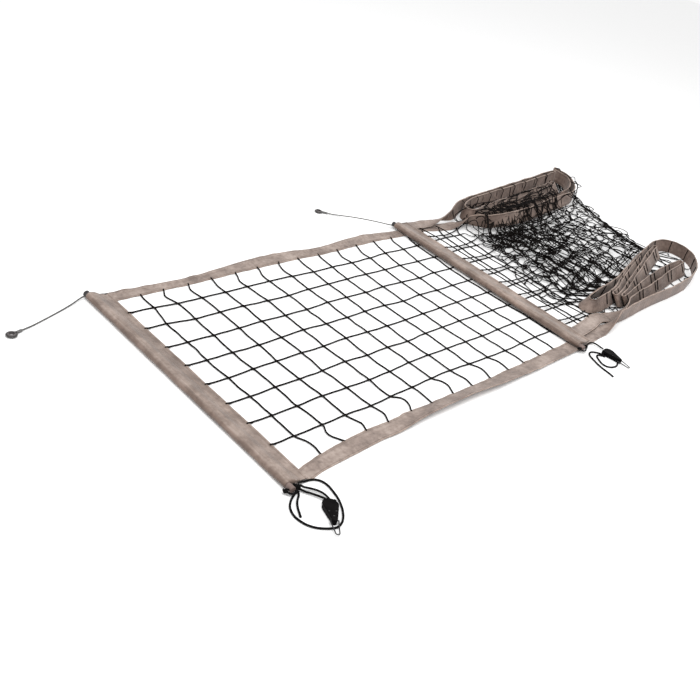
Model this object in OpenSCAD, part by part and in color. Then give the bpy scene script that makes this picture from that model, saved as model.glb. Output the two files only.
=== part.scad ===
// Volleyball net, partly rolled out on the ground.
// The first end of the net lies flat, the middle of the net is folded up in a pile on the right,
// and the second end comes back out of the pile and lies across the flat part.
// Millimetres. X runs along the net, from the first end to the pile. Y runs from the bottom tape to the
// top tape. Z is up and the ground is at z = 0. The origin is under the middle of the net.

/* [Mesh] */
// Pitch of the square mesh, knot to knot
mesh_pitch = 100; // [98:1:102]
// Diameter of the mesh twine
twine_d = 4; // [3:0.5:4.5]

/* [Tapes] */
// Width of the hemmed tapes along the top and bottom edges
tape_w = 60; // [50:1:60]
// Thickness of the top tape, which holds the tension cable
top_tape_t = 5; // [4.8:0.1:5.2]
// Thickness of the bottom tape
bottom_tape_t = 4; // [3:0.5:4]
// Thickness of a tape where it stands on edge in the pile
fold_t = 3; // [2:0.5:3.5]

/* [Side sleeves and poles] */
// Length of each side sleeve
sleeve_len = 988; // [980:1:988]
// Outer radius of the pole pocket
pocket_r = 11; // [11:0.1:11.4]
// Inner radius of the pole pocket
pocket_bore_r = 9.5; // [9.3:0.1:9.6]
// Diameter of the side poles
pole_d = 14; // [12:1:14]
// Diameter of the plugs on the pole ends
plug_d = 18; // [17:0.5:18]

/* [Tension cable] */
// Diameter of the tension cable
cable_d = 3.6; // [3:0.1:3.6]
// Diameter of the hole in the cable eye
eye_d = 16; // [14:1:18]

/* [Bottom cords and tensioners] */
// Diameter of the bottom cords
cord_d = 6; // [4:0.5:6]
// Thickness of a tensioner, both shells
tens_t = 16; // [16:0.5:18]
// Radius of the round end of a tensioner
tens_r = 21; // [21:0.5:23]
// Diameter of the wire of the hook bail
bail_wire = 2.6; // [1.6:0.2:2.8]

/* [Hidden] */
$fn = 48;

// shift that puts the origin under the middle of the net
ox = 1394;
oy = 502;

// edges of the open mesh
y_in_bottom = 24;
y_in_top = 9 * mesh_pitch - 15;
tilt_l = 1.1;      // the first sleeve lies slightly askew
tilt_r = 2.0;      // so does the second
lift = 5.5;        // the second end lies on top of the first
rise = 12;         // and its sleeve's inner edge stands up a little
flange_x = 74;
flange_t = 5;
pole_z = pocket_r;
y_plug = 934;      // along a sleeve, where the cable crosses it
hinge_x = 1672;    // fold line between the pile and the returned end
hinge_z = 19;
z_end = lift + rise;

taupe = [0.62, 0.56, 0.52];
black = [0.07, 0.07, 0.07];

function norm3(v) = v / norm(v);
// point of the first or second sleeve's own frame, in the net's frame (plan)
function lp(x, y) = [-59 + x*cos(tilt_l) + y*sin(tilt_l), -x*sin(tilt_l) + y*cos(tilt_l)];
function rp(x, y) = [1402 + x*cos(tilt_r) + y*sin(tilt_r), 18 - x*sin(tilt_r) + y*cos(tilt_r)];

// smooth curve through a list of points, n steps from point to point: it leaves each point along the
// line between its two neighbours, and its pull is as long as the stretch itself
function dirs(p) = let(m = len(p)) [for (i = [0 : m - 1]) norm3(p[min(i + 1, m - 1)] - p[max(i - 1, 0)])];
function herm(a, b, ta, tb, t) = let(l = norm(b - a))
  (2*t*t*t - 3*t*t + 1)*a + (t*t*t - 2*t*t + t)*l*ta + (3*t*t - 2*t*t*t)*b + (t*t*t - t*t)*l*tb;
function smooth(p, n) = let(m = len(p), d = dirs(p)) concat(
  [for (i = [0 : m - 2]) for (k = [0 : n - 1]) herm(p[i], p[i + 1], d[i], d[i + 1], k / n)],
  [p[m - 1]]);

module place() translate([-ox, -oy, 0]) children();
module left_frame() place() translate([-59, 0, 0]) rotate([0, 0, -tilt_l]) children();
module right_frame() place() translate([1402, 18, lift]) rotate([0, 0, -tilt_r]) children();

// round bar from point a to point b
module bar(a, b, r) {
  v = b - a;
  translate(a) rotate([0, acos(v[2] / norm(v)), atan2(v[1], v[0])]) cylinder(h = norm(v), r = r);
}

// tube of radius r with 8 sides along the points c
module tube(c, r) {
  n = 8;
  m = len(c);
  t = [for (i = [0 : m - 1]) norm3(c[min(i + 1, m - 1)] - c[max(i - 1, 0)])];
  s = [for (i = [0 : m - 1]) norm3(cross(t[i], [0, 0, 1]))];
  pts = [for (i = [0 : m - 1]) for (k = [0 : n - 1])
    c[i] + r * (cos(k * 360 / n + 22.5) * s[i] + sin(k * 360 / n + 22.5) * cross(s[i], t[i]))];
  polyhedron(pts, concat(
    [[for (k = [n - 1 : -1 : 0]) k]],
    [[for (k = [0 : n - 1]) (m - 1) * n + k]],
    [for (i = [0 : m - 2]) for (k = [0 : n - 1])
      [i*n + k, i*n + (k+1)%n, (i+1)*n + (k+1)%n, (i+1)*n + k]]));
}

// strip of thickness t standing on edge along a plan curve
module strip(c, t) {
  m = len(c);
  d = [for (i = [0 : m - 1]) norm3(c[min(i + 1, m - 1)] - c[max(i - 1, 0)])];
  polygon(concat(
    [for (i = [0 : m - 1]) c[i] + t/2 * [-d[i][1], d[i][0]]],
    [for (i = [m - 1 : -1 : 0]) c[i] - t/2 * [-d[i][1], d[i][0]]]));
}

// ---- routes, in the net's frame, chosen by hand ----

// top tape in the pile, plan view: eight passes with a hairpin at each end
top_route = [
  [1800, 850], [1822, 822], [1880, 778], [1980, 754], [2200, 758], [2450, 787], [2640, 812], [2740, 868], [2815, 955], [2850, 1040],
  [2858, 1062], [2848, 1072], [2832, 1062], [2798, 962], [2724, 888], [2640, 836],
  [2450, 806], [2200, 777], [2010, 772], [1992, 776], [1988, 784], [1996, 791],
  [2200, 795], [2450, 824], [2470, 827], [2496, 834], [2500, 842], [2492, 848], [2468, 846],
  [2450, 843], [2200, 814], [2140, 811], [2122, 814], [2118, 822], [2126, 829],
  [2200, 833], [2450, 862], [2620, 884], [2646, 892], [2652, 901], [2644, 908], [2618, 905],
  [2450, 882], [2200, 853], [2000, 838], [1900, 836], [1866, 850], [1858, 878], [1876, 908], [1960, 932],
  [2200, 958], [2450, 982], [2690, 1012], [2750, 1022], [2776, 1029], [2782, 1037], [2772, 1043], [2746, 1040],
  [2690, 1032], [2450, 1002], [2200, 978], [1960, 951], [1860, 930], [1780, 920], [1680, 914]
];
// bottom tape in the pile, plan view
bottom_route = [
  [1604, 4], [1700, 2], [1800, 4], [2000, 14], [2200, 12], [2400, 22], [2560, 60], [2660, 114],
  [2722, 180], [2738, 240], [2716, 282], [2660, 300], [2590, 294],
  [2460, 264], [2314, 228], [2170, 194], [2030, 166], [1900, 163], [1780, 174], [1714, 164],
  [1688, 132], [1700, 102], [1750, 90], [1850, 97], [1960, 116], [2100, 160], [2230, 199],
  [2370, 236], [2392, 241], [2398, 234], [2388, 227],
  [2340, 215], [2230, 184], [2100, 146], [1980, 106], [1900, 84], [1882, 77], [1886, 68], [1904, 68],
  [1980, 83], [2100, 120], [2280, 174], [2440, 224], [2570, 260], [2600, 266], [2610, 258], [2600, 250],
  [2560, 240], [2440, 206], [2280, 158], [2100, 103], [2000, 74], [1930, 58], [1913, 53], [1911, 46], [1926, 44],
  [2000, 56], [2140, 82], [2280, 104], [2420, 118], [2550, 120], [2574, 112], [2574, 101], [2550, 96],
  [2420, 86], [2280, 68], [2140, 50], [2000, 38], [1900, 33], [1820, 33], [1740, 42], [1680, 60]
];
// free end of the left cable: out of the sleeve, down to the ground, to the ferrule
left_cable_route = [[-53, 934, 11], [-68, 930, 10], [-110, 914, 5], [-160, 896, 2.2], [-220, 874, 2], [-270, 856, 3], [-304, 846, 4.5]];
left_eye = [-341.5, 836, 4.5];
left_eye_dir = atan2(846 - 836, -304 + 341.5);
// free end of the right cable
right_cable_route = [[1423, 952, 16.5], [1406, 962, 18], [1380, 986, 19], [1346, 1026, 17], [1300, 1078, 12], [1260, 1118, 7], [1240, 1138, 4.5], [1223.5, 1154.5, 4.5]];
right_eye = [1196, 1182, 4.5];
right_eye_dir = -45;
// left bottom cord
left_cord_a = [[-33, -66, 13], [-27, -74, 10], [-14, -84, 7.5], [0, -102, 7], [5, -121, 7.5], [3, -142, 8]];
left_cord_b = [[-39, -71, 7.5], [-33, -83, 5.5], [-23, -98, 6], [-12, -118, 7], [-4, -137, 8]];
left_cord_loop = [[-30, -57, 11], [-18, -54, 7], [-4, -55, 3.6], [14, -58, 3.2], [28, -66, 3.2], [37, -79, 3.2], [40, -98, 3.2],
  [36, -123, 3.2], [30, -146, 3.2], [20, -168, 3.2], [8, -187, 3.2], [-6, -203, 3.2], [-22, -215, 3.2], [-41, -221, 3.2],
  [-58, -217, 3.2], [-76, -207, 3.2], [-93, -193, 3.2], [-105, -176, 3.2], [-111, -158, 3.2], [-113, -140, 3.2], [-110, -124, 3.2],
  [-103, -109, 3.2], [-91, -96, 3.2], [-77, -86, 3.8], [-62, -79, 5.5], [-48, -71, 8.5]];
left_cord_tail = [[-45, -75, 3.6], [-54, -87, 3.4], [-66, -96, 3.2], [-77, -107, 3.2], [-87, -121, 3.2], [-95, -136, 3.2], [-101, -147, 3.2]];
// right bottom cord
right_cord_in = [[1424, -50, 17], [1436, -44, 15], [1450, -39, 11], [1464, -35, 8], [1480, -33, 7], [1493, -38, 7], [1498, -51, 7.5], [1495, -69, 8], [1494, -84, 8]];
right_cord_tail = [[1462, -108, 5], [1460, -97, 3.6], [1453, -85, 3.2], [1441, -75, 3.2], [1427, -70, 3.2], [1413, -74, 3.2], [1401, -86, 3.2], [1389, -110, 3.2], [1377, -140, 3.2], [1371, -168, 3.2], [1368, -189, 3.2], [1363, -208, 3.2]];
right_cord_loop = [[1459, -117, 5], [1452, -106, 3.6], [1443, -97, 3.2], [1432, -96, 3.2], [1421, -105, 3.2], [1411, -119, 3.2], [1402, -135, 3.2],
  [1400, -151, 3.2], [1408, -164, 3.2], [1424, -172, 3.2], [1444, -174, 3.2], [1458, -170, 3.2], [1468, -165, 3.2]];
// tensioners: place of each one's own origin, and the way its hook points
left_tens = [-18, -169, 0];
left_tens_dir = -122;
right_tens = [1486, -122, 0];
right_tens_dir = -97;

// ---- mesh and tapes ----

module main_outline() polygon([[0, y_in_bottom], [1250, y_in_bottom], [1600, 58], [1604, 66], [1700, 186], [1724, 200],
  [1736, 360], [1750, 500], [1770, 650], [1788, 770], [1770, 810], [1550, y_in_top], [0, y_in_top]]);

module main_mesh() color(black) place()
  linear_extrude(height = twine_d) difference() {
    intersection() {
      main_outline();
      union() {
        for (i = [1 : 18]) translate([i * mesh_pitch - twine_d/2, -100]) square([twine_d, 1200]);
        for (j = [1 : 8]) translate([0, j * mesh_pitch - twine_d/2]) square([2000, twine_d]);
      }
    }
    left_cut();
  }

// everything on the sleeve's side of the first sleeve's flange edge
module left_cut() translate([-59, 0]) rotate(-tilt_l) translate([-400, -400]) square([400 + flange_x, 1900]);
module right_cut() translate([1402, 18]) rotate(-tilt_r) translate([-400, -400]) square([400 + flange_x, 1900]);

y_cable = lp(flange_x, y_plug)[1];
// where the cable comes out of the first sleeve into the tape, its bend in the tape, and the tape's end
cable_a = [lp(flange_x, y_plug)[0], y_cable, top_tape_t/2];
cable_b = [lp(-11.5, y_plug)[0], lp(-11.5, y_plug)[1], pole_z];
cable_c = [1550, y_cable, top_tape_t/2];
cable_d2 = [1795, y_cable - 60, top_tape_t/2];
// short upright barrel where two straight stretches of cable meet
module knee(p, g) translate([p[0], p[1], p[2] - 2.15 - g]) cylinder(h = 4.3 + 2*g, r = 2.6 + 1.5*g);
// the cable's two or three straight stretches between points; g widens them into their bore
module cable_run(b, a, c, r, g) {
  bar(b, a + 3 * norm3(a - b), r + g);
  knee(a + [4, 0, 0], g);
  bar(a + [5, 0, 0], c, r + g);
}
module top_tape() color(taupe) place() difference() {
  linear_extrude(height = top_tape_t) difference() {
    polygon([[0, y_in_top], [1550, y_in_top], [1796, 826], [1796, 886], [1550, y_in_top + tape_w], [0, y_in_top + tape_w]]);
    left_cut();
  }
  cable_run(cable_b, cable_a, cable_c - [1, 0, 0], cable_d/2, 0.1);
  knee(cable_c, 0.1);
  bar(cable_c + norm3(cable_d2 - cable_c), cable_d2 + 10 * norm3(cable_d2 - cable_c), cable_d/2 + 0.1);
}
module bottom_tape() color(taupe) place()
  linear_extrude(height = bottom_tape_t) difference() {
    polygon([[0, y_in_bottom - tape_w], [1250, y_in_bottom - tape_w], [1600, -2], [1600, 58], [1250, y_in_bottom], [0, y_in_bottom]]);
    left_cut();
  }
module tension_cable() color("silver") place() {
  cable_run(cable_b, cable_a, cable_c - [1, 0, 0], cable_d/2, 0);
  knee(cable_c, 0);
  bar(cable_c + norm3(cable_d2 - cable_c), cable_d2, cable_d/2);
}

top_path = smooth(top_route, 4);
bottom_path = smooth(bottom_route, 4);
fold_z = 22;
module top_tape_folds() color(taupe) place() translate([0, 0, fold_z]) linear_extrude(height = tape_w) strip(top_path, fold_t);
module bottom_tape_folds() color(taupe) place() linear_extrude(height = tape_w) strip(bottom_path, fold_t);
module tension_cable_folds() color("silver") place() translate([0, 0, fold_z - cable_d]) linear_extrude(height = cable_d) strip(top_path, fold_t);

// folded mesh in the pile: a low mound between the two folded tapes
mound_near = [[1738, 198], [1800, 196], [1960, 184], [2140, 208], [2310, 242], [2460, 278], [2580, 308], [2690, 340]];
mound_far = [[1806, 800], [1850, 764], [1970, 732], [2120, 730], [2300, 744], [2450, 760], [2580, 780], [2716, 800]];
mound_h = [30, 44, 56, 64, 60, 64, 72, 80, 84];
mound_nu = 8;
mound_nv = 7;
mound_k = (mound_nu + 1) * (mound_nv + 1);
function mound_edge(v, u) = v == 0 ? -10 * sin(180 * u / mound_nu) : v == mound_nv ? 40 * sin(180 * u / mound_nu) : 0;
function mound_at(u, v) = let(s = u / mound_nu) (1 - s) * mound_near[v] + s * mound_far[v] + [mound_edge(v, u), 0];
function mound_high(u, v) = mound_h[u] * (v == 0 ? 0.35 : v == mound_nv ? 0.5 : 1) * (1 + 0.06 * sin(u * 131 + v * 77));
function mound_id(u, v) = u * (mound_nv + 1) + v;
module mesh_folds() color(black) place() polyhedron(
  concat(
    [for (u = [0 : mound_nu]) for (v = [0 : mound_nv]) [mound_at(u, v)[0], mound_at(u, v)[1], 0]],
    [for (u = [0 : mound_nu]) for (v = [0 : mound_nv]) [mound_at(u, v)[0], mound_at(u, v)[1], mound_high(u, v)]]),
  concat(
    [for (u = [0 : mound_nu - 1]) for (v = [0 : mound_nv - 1]) [mound_id(u, v), mound_id(u, v + 1), mound_id(u + 1, v)]],
    [for (u = [0 : mound_nu - 1]) for (v = [0 : mound_nv - 1]) [mound_id(u, v + 1), mound_id(u + 1, v + 1), mound_id(u + 1, v)]],
    [for (u = [0 : mound_nu - 1]) for (v = [0 : mound_nv - 1]) [mound_k + mound_id(u, v), mound_k + mound_id(u + 1, v), mound_k + mound_id(u, v + 1)]],
    [for (u = [0 : mound_nu - 1]) for (v = [0 : mound_nv - 1]) [mound_k + mound_id(u, v + 1), mound_k + mound_id(u + 1, v), mound_k + mound_id(u + 1, v + 1)]],
    [for (v = [0 : mound_nv - 1]) [mound_id(0, v), mound_k + mound_id(0, v), mound_k + mound_id(0, v + 1), mound_id(0, v + 1)]],
    [for (v = [0 : mound_nv - 1]) [mound_id(mound_nu, v + 1), mound_k + mound_id(mound_nu, v + 1), mound_k + mound_id(mound_nu, v), mound_id(mound_nu, v)]],
    [for (u = [0 : mound_nu - 1]) [mound_id(u + 1, 0), mound_k + mound_id(u + 1, 0), mound_k + mound_id(u, 0), mound_id(u, 0)]],
    [for (u = [0 : mound_nu - 1]) [mound_id(u, mound_nv), mound_k + mound_id(u, mound_nv), mound_k + mound_id(u + 1, mound_nv), mound_id(u + 1, mound_nv)]]));

// ---- returned end ----

end_near = [[1440, -4], [1440, 56], [hinge_x - 1, 86], [hinge_x - 1, 26]];
end_far = [[1440, 898], [1440, 958], [hinge_x - 1, 944], [hinge_x - 1, 884]];
module end_mesh() color(black) place() translate([0, 0, z_end])
  linear_extrude(height = twine_d) difference() {
    intersection() {
      polygon([end_near[1], end_near[2], end_far[3], end_far[0]]);
      union() {
        for (i = [0 : 1]) translate([1545 + i * 56, -100]) square([twine_d, 1200]);
        for (j = [1 : 8]) translate([1400, j * mesh_pitch + 14]) square([600, twine_d]);
      }
    }
    right_cut();
  }
end_cable_y = rp(flange_x, y_plug)[1];
end_cable_a = [rp(flange_x, y_plug)[0], end_cable_y, z_end + top_tape_t/2];
end_cable_b = [rp(-11.5, y_plug)[0], rp(-11.5, y_plug)[1], lift + pole_z];
end_cable_c = [hinge_x - 1, end_cable_y - 14, z_end + top_tape_t/2];
module end_top_tape() color(taupe) place() difference() {
  translate([0, 0, z_end]) linear_extrude(height = top_tape_t) difference() {
    polygon(end_far);
    right_cut();
  }
  cable_run(end_cable_b, end_cable_a, end_cable_c + [5, -0.5, 0], cable_d/2, 0.1);
}
module end_bottom_tape() color(taupe) place() translate([0, 0, z_end])
  linear_extrude(height = bottom_tape_t) difference() {
    polygon(end_near);
    right_cut();
  }
module end_cable() color("silver") place() cable_run(end_cable_b, end_cable_a, end_cable_c, cable_d/2, 0);

// ---- side sleeves, plugs and poles, in a sleeve's own frame: the pole runs along Y ----

module sleeve_section(up) {
  translate([0, pole_z]) circle(r = pocket_r);
  polygon([[0, 0], [26, up * 0.3], [flange_x, up], [flange_x, up + flange_t], [34, up * 0.45 + 7], [18, up * 0.2 + 13],
    [pocket_r * sin(32), pole_z + pocket_r * cos(32)], [0, pole_z + 4]]);
}
module sleeve(up) difference() {
  translate([0, sleeve_len - 48, 0]) rotate([90, 0, 0]) linear_extrude(height = sleeve_len) sleeve_section(up);
  translate([0, sleeve_len, pole_z]) rotate([90, 0, 0]) cylinder(h = sleeve_len + 100, r = pocket_bore_r);
  cable_way(up);
}
// the straight way that the cable takes across a sleeve
module cable_way(up) bar([flange_x + 0.5, y_plug, up + flange_t/2 + (flange_t/2 + up - pole_z) * 0.006],
  [-13, y_plug, pole_z - (flange_t/2 + up - pole_z) * 0.0176], cable_d/2 + 0.25);
module sleeve_plug(up) difference() {
  translate([0, sleeve_len - 48 + 6, pole_z]) rotate([90, 0, 0]) union() {
    cylinder(h = 5.9, r = plug_d/2 + 1.6);
    cylinder(h = 24, r = pocket_bore_r);
  }
  cable_way(up);
}
pole_y0 = -56;
pole_y1 = 912;
module pole() translate([0, pole_y1, pole_z]) rotate([90, 0, 0]) cylinder(h = pole_y1 - pole_y0, r = pole_d/2);
module pole_cap_top() translate([0, pole_y1 + 3, pole_z]) rotate([90, 0, 0]) difference() {
  cylinder(h = 26, r = plug_d/2);
  translate([0, 0, 3]) cylinder(h = 30, r = pole_d/2);
}
// the bottom cap has a cross hole for the cord
module pole_cap_bottom() difference() {
  translate([0, -42, pole_z]) rotate([90, 0, 0]) cylinder(h = 28, r = plug_d/2);
  translate([0, -40, pole_z]) rotate([90, 0, 0]) cylinder(h = -pole_y0 - 40, r = pole_d/2);
  translate([-20, -63, pole_z]) rotate([0, 90, 0]) cylinder(h = 40, r = cord_d/2 + 0.1);
}

module left_sleeve() color(taupe) left_frame() sleeve(0);
module right_sleeve() color(taupe) right_frame() sleeve(rise);
module left_sleeve_plug() color("dimgray") left_frame() sleeve_plug(0);
module right_sleeve_plug() color("dimgray") right_frame() sleeve_plug(rise);
module left_pole() color("darkgray") left_frame() pole();
module right_pole() color("darkgray") right_frame() pole();
module left_pole_cap_top() color("dimgray") left_frame() pole_cap_top();
module right_pole_cap_top() color("dimgray") right_frame() pole_cap_top();
module left_pole_cap_bottom() color("rosybrown") left_frame() pole_cap_bottom();
module right_pole_cap_bottom() color("rosybrown") right_frame() pole_cap_bottom();

// ---- cable ends: cable, ferrule and thimble eye, the eye lying flat ----

eye_r = eye_d/2;
loop_r = eye_r + 5 + cable_d/2;
module cable_loop(at, dir) translate(at) rotate([0, 0, dir]) rotate_extrude() translate([loop_r, 0]) circle(r = cable_d/2, $fn = 24);
module left_cable_end() color("silver") place() { tube(smooth(left_cable_route, 4), cable_d/2); cable_loop(left_eye, left_eye_dir); }
module right_cable_end() color("silver") place() { tube(smooth(right_cable_route, 4), cable_d/2); cable_loop(right_eye, right_eye_dir); }
module ferrule(at, dir) translate(at) rotate([0, 0, dir]) rotate([0, 90, 0])
  translate([0, 0, loop_r + cable_d/2 + 0.2]) rotate_extrude() polygon([[0, 0], [3.6, 0], [4.4, 2], [4.4, 18], [2.6, 22], [0, 22]]);
module left_ferrule() color("slategray") place() ferrule(left_eye, left_eye_dir);
module right_ferrule() color("slategray") place() ferrule(right_eye, right_eye_dir);
// a grooved ring with a straight bore; the cable lies in the groove
module thimble(at) translate(at) rotate_extrude() difference() {
  polygon([[eye_r, -4.5], [eye_r + 4, -4.5], [eye_r + 5.2, -3.2], [eye_r + 5.2, 3.2], [eye_r + 4, 4.5], [eye_r, 4.5]]);
  translate([loop_r, 0]) circle(r = cable_d/2 + 0.02, $fn = 24);
}
module left_thimble() color("gray") place() thimble(left_eye);
module right_thimble() color("gray") place() thimble(right_eye);

// ---- bottom cords ----

module left_cord() color(black) place() {
  tube(smooth(left_cord_a, 3), cord_d/2);
  tube(smooth(left_cord_b, 3), cord_d/2);
  tube(smooth(left_cord_loop, 3), cord_d/2);
  tube(smooth(left_cord_tail, 3), cord_d/2);
  cross_cord(-59, 0, tilt_l, 0);
}
module right_cord() color(black) place() {
  tube(smooth(right_cord_in, 3), cord_d/2);
  tube(smooth(right_cord_tail, 3), cord_d/2);
  tube(smooth(right_cord_loop, 3), cord_d/2);
  cross_cord(1402, 18, tilt_r, lift);
}
// the short stretch through the pole cap's cross hole
module cross_cord(x, y, tilt, up) translate([x, y, up]) rotate([0, 0, -tilt])
  translate([-15, -63, pole_z]) rotate([0, 90, 0]) cylinder(h = 32, r = cord_d/2);
module knot(at, r, l) translate(at) rotate([0, 90, 0]) rotate_extrude()
  polygon([[0, -l/2], [r * 0.7, -l/2], [r, -l/4], [r, l/4], [r * 0.7, l/2], [0, l/2]]);
module left_knot() color(black) place() knot([-41, -64, 10], 8.5, 18);
module left_stopper_knot() color(black) place() knot([-79, -62, 11], 6, 12);
module right_knot() color(black) place() knot([1420, -48, lift + pole_z], 7.5, 12);
module right_stopper_knot() color(black) place() knot([1381, -45, lift + pole_z], 6, 12);

// ---- cord tensioner, in its own frame: cord comes in at -X, hook at +X, lying on the ground ----

neck_x = 42;
neck_r = 7.5;
round_x = -10;
tens_cos = (tens_r - neck_r) / (neck_x - round_x);
tens_sin = sqrt(1 - tens_cos * tens_cos);
// egg outline: a large round end and a small one, joined by their common tangents; inset by g
module egg(g) {
  translate([round_x, 0]) circle(r = tens_r - g);
  translate([neck_x, 0]) circle(r = neck_r - g);
  polygon([[round_x + (tens_r - g) * tens_cos, (tens_r - g) * tens_sin], [neck_x + (neck_r - g) * tens_cos, (neck_r - g) * tens_sin],
    [neck_x + (neck_r - g) * tens_cos, -(neck_r - g) * tens_sin], [round_x + (tens_r - g) * tens_cos, -(tens_r - g) * tens_sin]]);
}
roller_at = [-11, 7.6];
cam_at = [-9, -11.2];
screw_at = [[14, 9.6], [14, -9.6], [31, 0]];
half = tens_t / 2;
// half shell from z = 0 to half; the cavity is open upwards
module shell_half() difference() {
  union() {
    linear_extrude(height = 1.2) egg(1.2);
    translate([0, 0, 1.2]) linear_extrude(height = half - 1.2) egg(0);
    // cord keeper horns beside the mouth
    for (s = [-1, 1]) translate([round_x, 0, 2]) rotate([0, 0, 180 + s * 42]) translate([tens_r - 2, -3.5, 0]) cube([5, 7, half - 2]);
  }
  // hollow for the roller and the cam
  translate([0, 0, 2.6]) linear_extrude(height = half) intersection() {
    egg(3);
    translate([-60, -40]) square([70, 80]);
  }
  // mouth for the two cord strands and the side slot for the tail
  translate([-45, -7.5, 3]) cube([20, 15, half]);
  translate([round_x - 4, -30, 4]) cube([8, 15, half]);
  // pivot holes
  translate([roller_at[0], roller_at[1], 0.8]) cylinder(h = half, r = 2.5);
  translate([cam_at[0], cam_at[1], 0.8]) cylinder(h = half, r = 2);
  // hook pivot, across the neck
  translate([neck_x - 1, 20, half]) rotate([90, 0, 0]) cylinder(h = 40, r = bail_wire/2 + 0.06);
}
module tensioner_base() difference() {
  shell_half();
  for (q = screw_at) translate([q[0], q[1], 2]) cylinder(h = 20, r = 1.2);
}
module tensioner_cover() difference() {
  translate([0, 0, tens_t]) mirror([0, 0, 1]) shell_half();
  for (q = screw_at) {
    translate([q[0], q[1], half - 1]) cylinder(h = 20, r = 1.2);
    translate([q[0], q[1], tens_t - 2.5]) cylinder(h = 5, r = 2.6);
  }
}
module tensioner_screws() for (q = screw_at) translate([q[0], q[1], 0]) difference() {
  union() {
    translate([0, 0, 2]) cylinder(h = tens_t - 4.5, r = 1.2);
    translate([0, 0, tens_t - 2.5]) cylinder(h = 1.8, r = 2.6);
  }
  for (a = [0, 90]) rotate([0, 0, a]) translate([-2, -0.35, tens_t - 1.6]) cube([4, 0.7, 2]);
}
module roller() translate([roller_at[0], roller_at[1], half]) rotate_extrude() difference() {
  translate([2.56, -4.6]) square([4.6, 9.2]);
  translate([8.6, 0]) circle(r = 3.2);
}
module roller_pin() translate([roller_at[0], roller_at[1], 0.8]) cylinder(h = tens_t - 1.6, r = 2.5);
// toothed jaw that bites the cord against the roller
module cam() translate([cam_at[0], cam_at[1], 3.2]) linear_extrude(height = 5.6) difference() {
  union() {
    circle(r = 4.2);
    translate([2, 2.2]) circle(r = 3.6);
    for (k = [0 : 3]) translate([2, 2.2]) rotate(30 + 28 * k) translate([3.2, 0]) polygon([[-0.6, -1], [1.1, 0], [-0.6, 1]]);
    polygon([[1, -3.9], [7, -2.4], [8, -0.8], [4, 0.4]]);
  }
  circle(r = 2.05);
}
module cam_pin() translate([cam_at[0], cam_at[1], 0.8]) cylinder(h = tens_t - 1.6, r = 2);
// flat coil spring above the jaw
module cam_spring() translate([cam_at[0], cam_at[1], 9.4]) {
  difference() { cylinder(h = 3, r = 3.4); translate([0, 0, -1]) cylinder(h = 5, r = 2.4); }
  translate([2.2, -3.3, 0]) cube([9, 1, 1]);
}
// wire hook: a cross bar through the neck, two arms and a round nose
module bail() translate([neck_x - 1, 0, half]) {
  w = bail_wire / 2;
  bar([0, -12.2, 0], [0, 12.2, 0], w);
  for (s = [-1, 1]) bar([0, s * 11.2, 0], [41.6, s * 5.4, 0], w);
  translate([41.2, 0, 0]) rotate([0, 0, -90]) rotate_extrude(angle = 180) translate([5.5, 0]) circle(r = w, $fn = 24);
}
module at_left() place() translate(left_tens) rotate([0, 0, left_tens_dir]) children();
module at_right() place() translate(right_tens) rotate([0, 0, right_tens_dir]) children();

module left_tensioner_base() color(black) at_left() tensioner_base();
module left_tensioner_cover() color([0.1, 0.1, 0.1]) at_left() tensioner_cover();
module left_tensioner_screws() color("silver") at_left() tensioner_screws();
module left_roller() color("dimgray") at_left() roller();
module left_roller_pin() color("silver") at_left() roller_pin();
module left_cam() color("gray") at_left() cam();
module left_cam_pin() color("silver") at_left() cam_pin();
module left_cam_spring() color("silver") at_left() cam_spring();
module left_bail() color("silver") at_left() bail();
module right_tensioner_base() color(black) at_right() tensioner_base();
module right_tensioner_cover() color([0.1, 0.1, 0.1]) at_right() tensioner_cover();
module right_tensioner_screws() color("silver") at_right() tensioner_screws();
module right_roller() color("dimgray") at_right() roller();
module right_roller_pin() color("silver") at_right() roller_pin();
module right_cam() color("gray") at_right() cam();
module right_cam_pin() color("silver") at_right() cam_pin();
module right_cam_spring() color("silver") at_right() cam_spring();
module right_bail() color("silver") at_right() bail();

main_mesh();
top_tape();
bottom_tape();
top_tape_folds();
bottom_tape_folds();
mesh_folds();
tension_cable();
tension_cable_folds();
left_sleeve();
left_sleeve_plug();
left_pole();
left_pole_cap_top();
left_pole_cap_bottom();
left_cable_end();
left_ferrule();
left_thimble();
left_cord();
left_knot();
left_stopper_knot();
left_tensioner_base();
left_tensioner_cover();
left_tensioner_screws();
left_roller();
left_roller_pin();
left_cam();
left_cam_pin();
left_cam_spring();
left_bail();
end_mesh();
end_top_tape();
end_bottom_tape();
end_cable();
right_sleeve();
right_sleeve_plug();
right_pole();
right_pole_cap_top();
right_pole_cap_bottom();
right_cable_end();
right_ferrule();
right_thimble();
right_cord();
right_knot();
right_stopper_knot();
right_tensioner_base();
right_tensioner_cover();
right_tensioner_screws();
right_roller();
right_roller_pin();
right_cam();
right_cam_pin();
right_cam_spring();
right_bail();
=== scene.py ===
import bmesh, bpy, json, math
import numpy as np
from mathutils import Matrix, Vector


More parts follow.
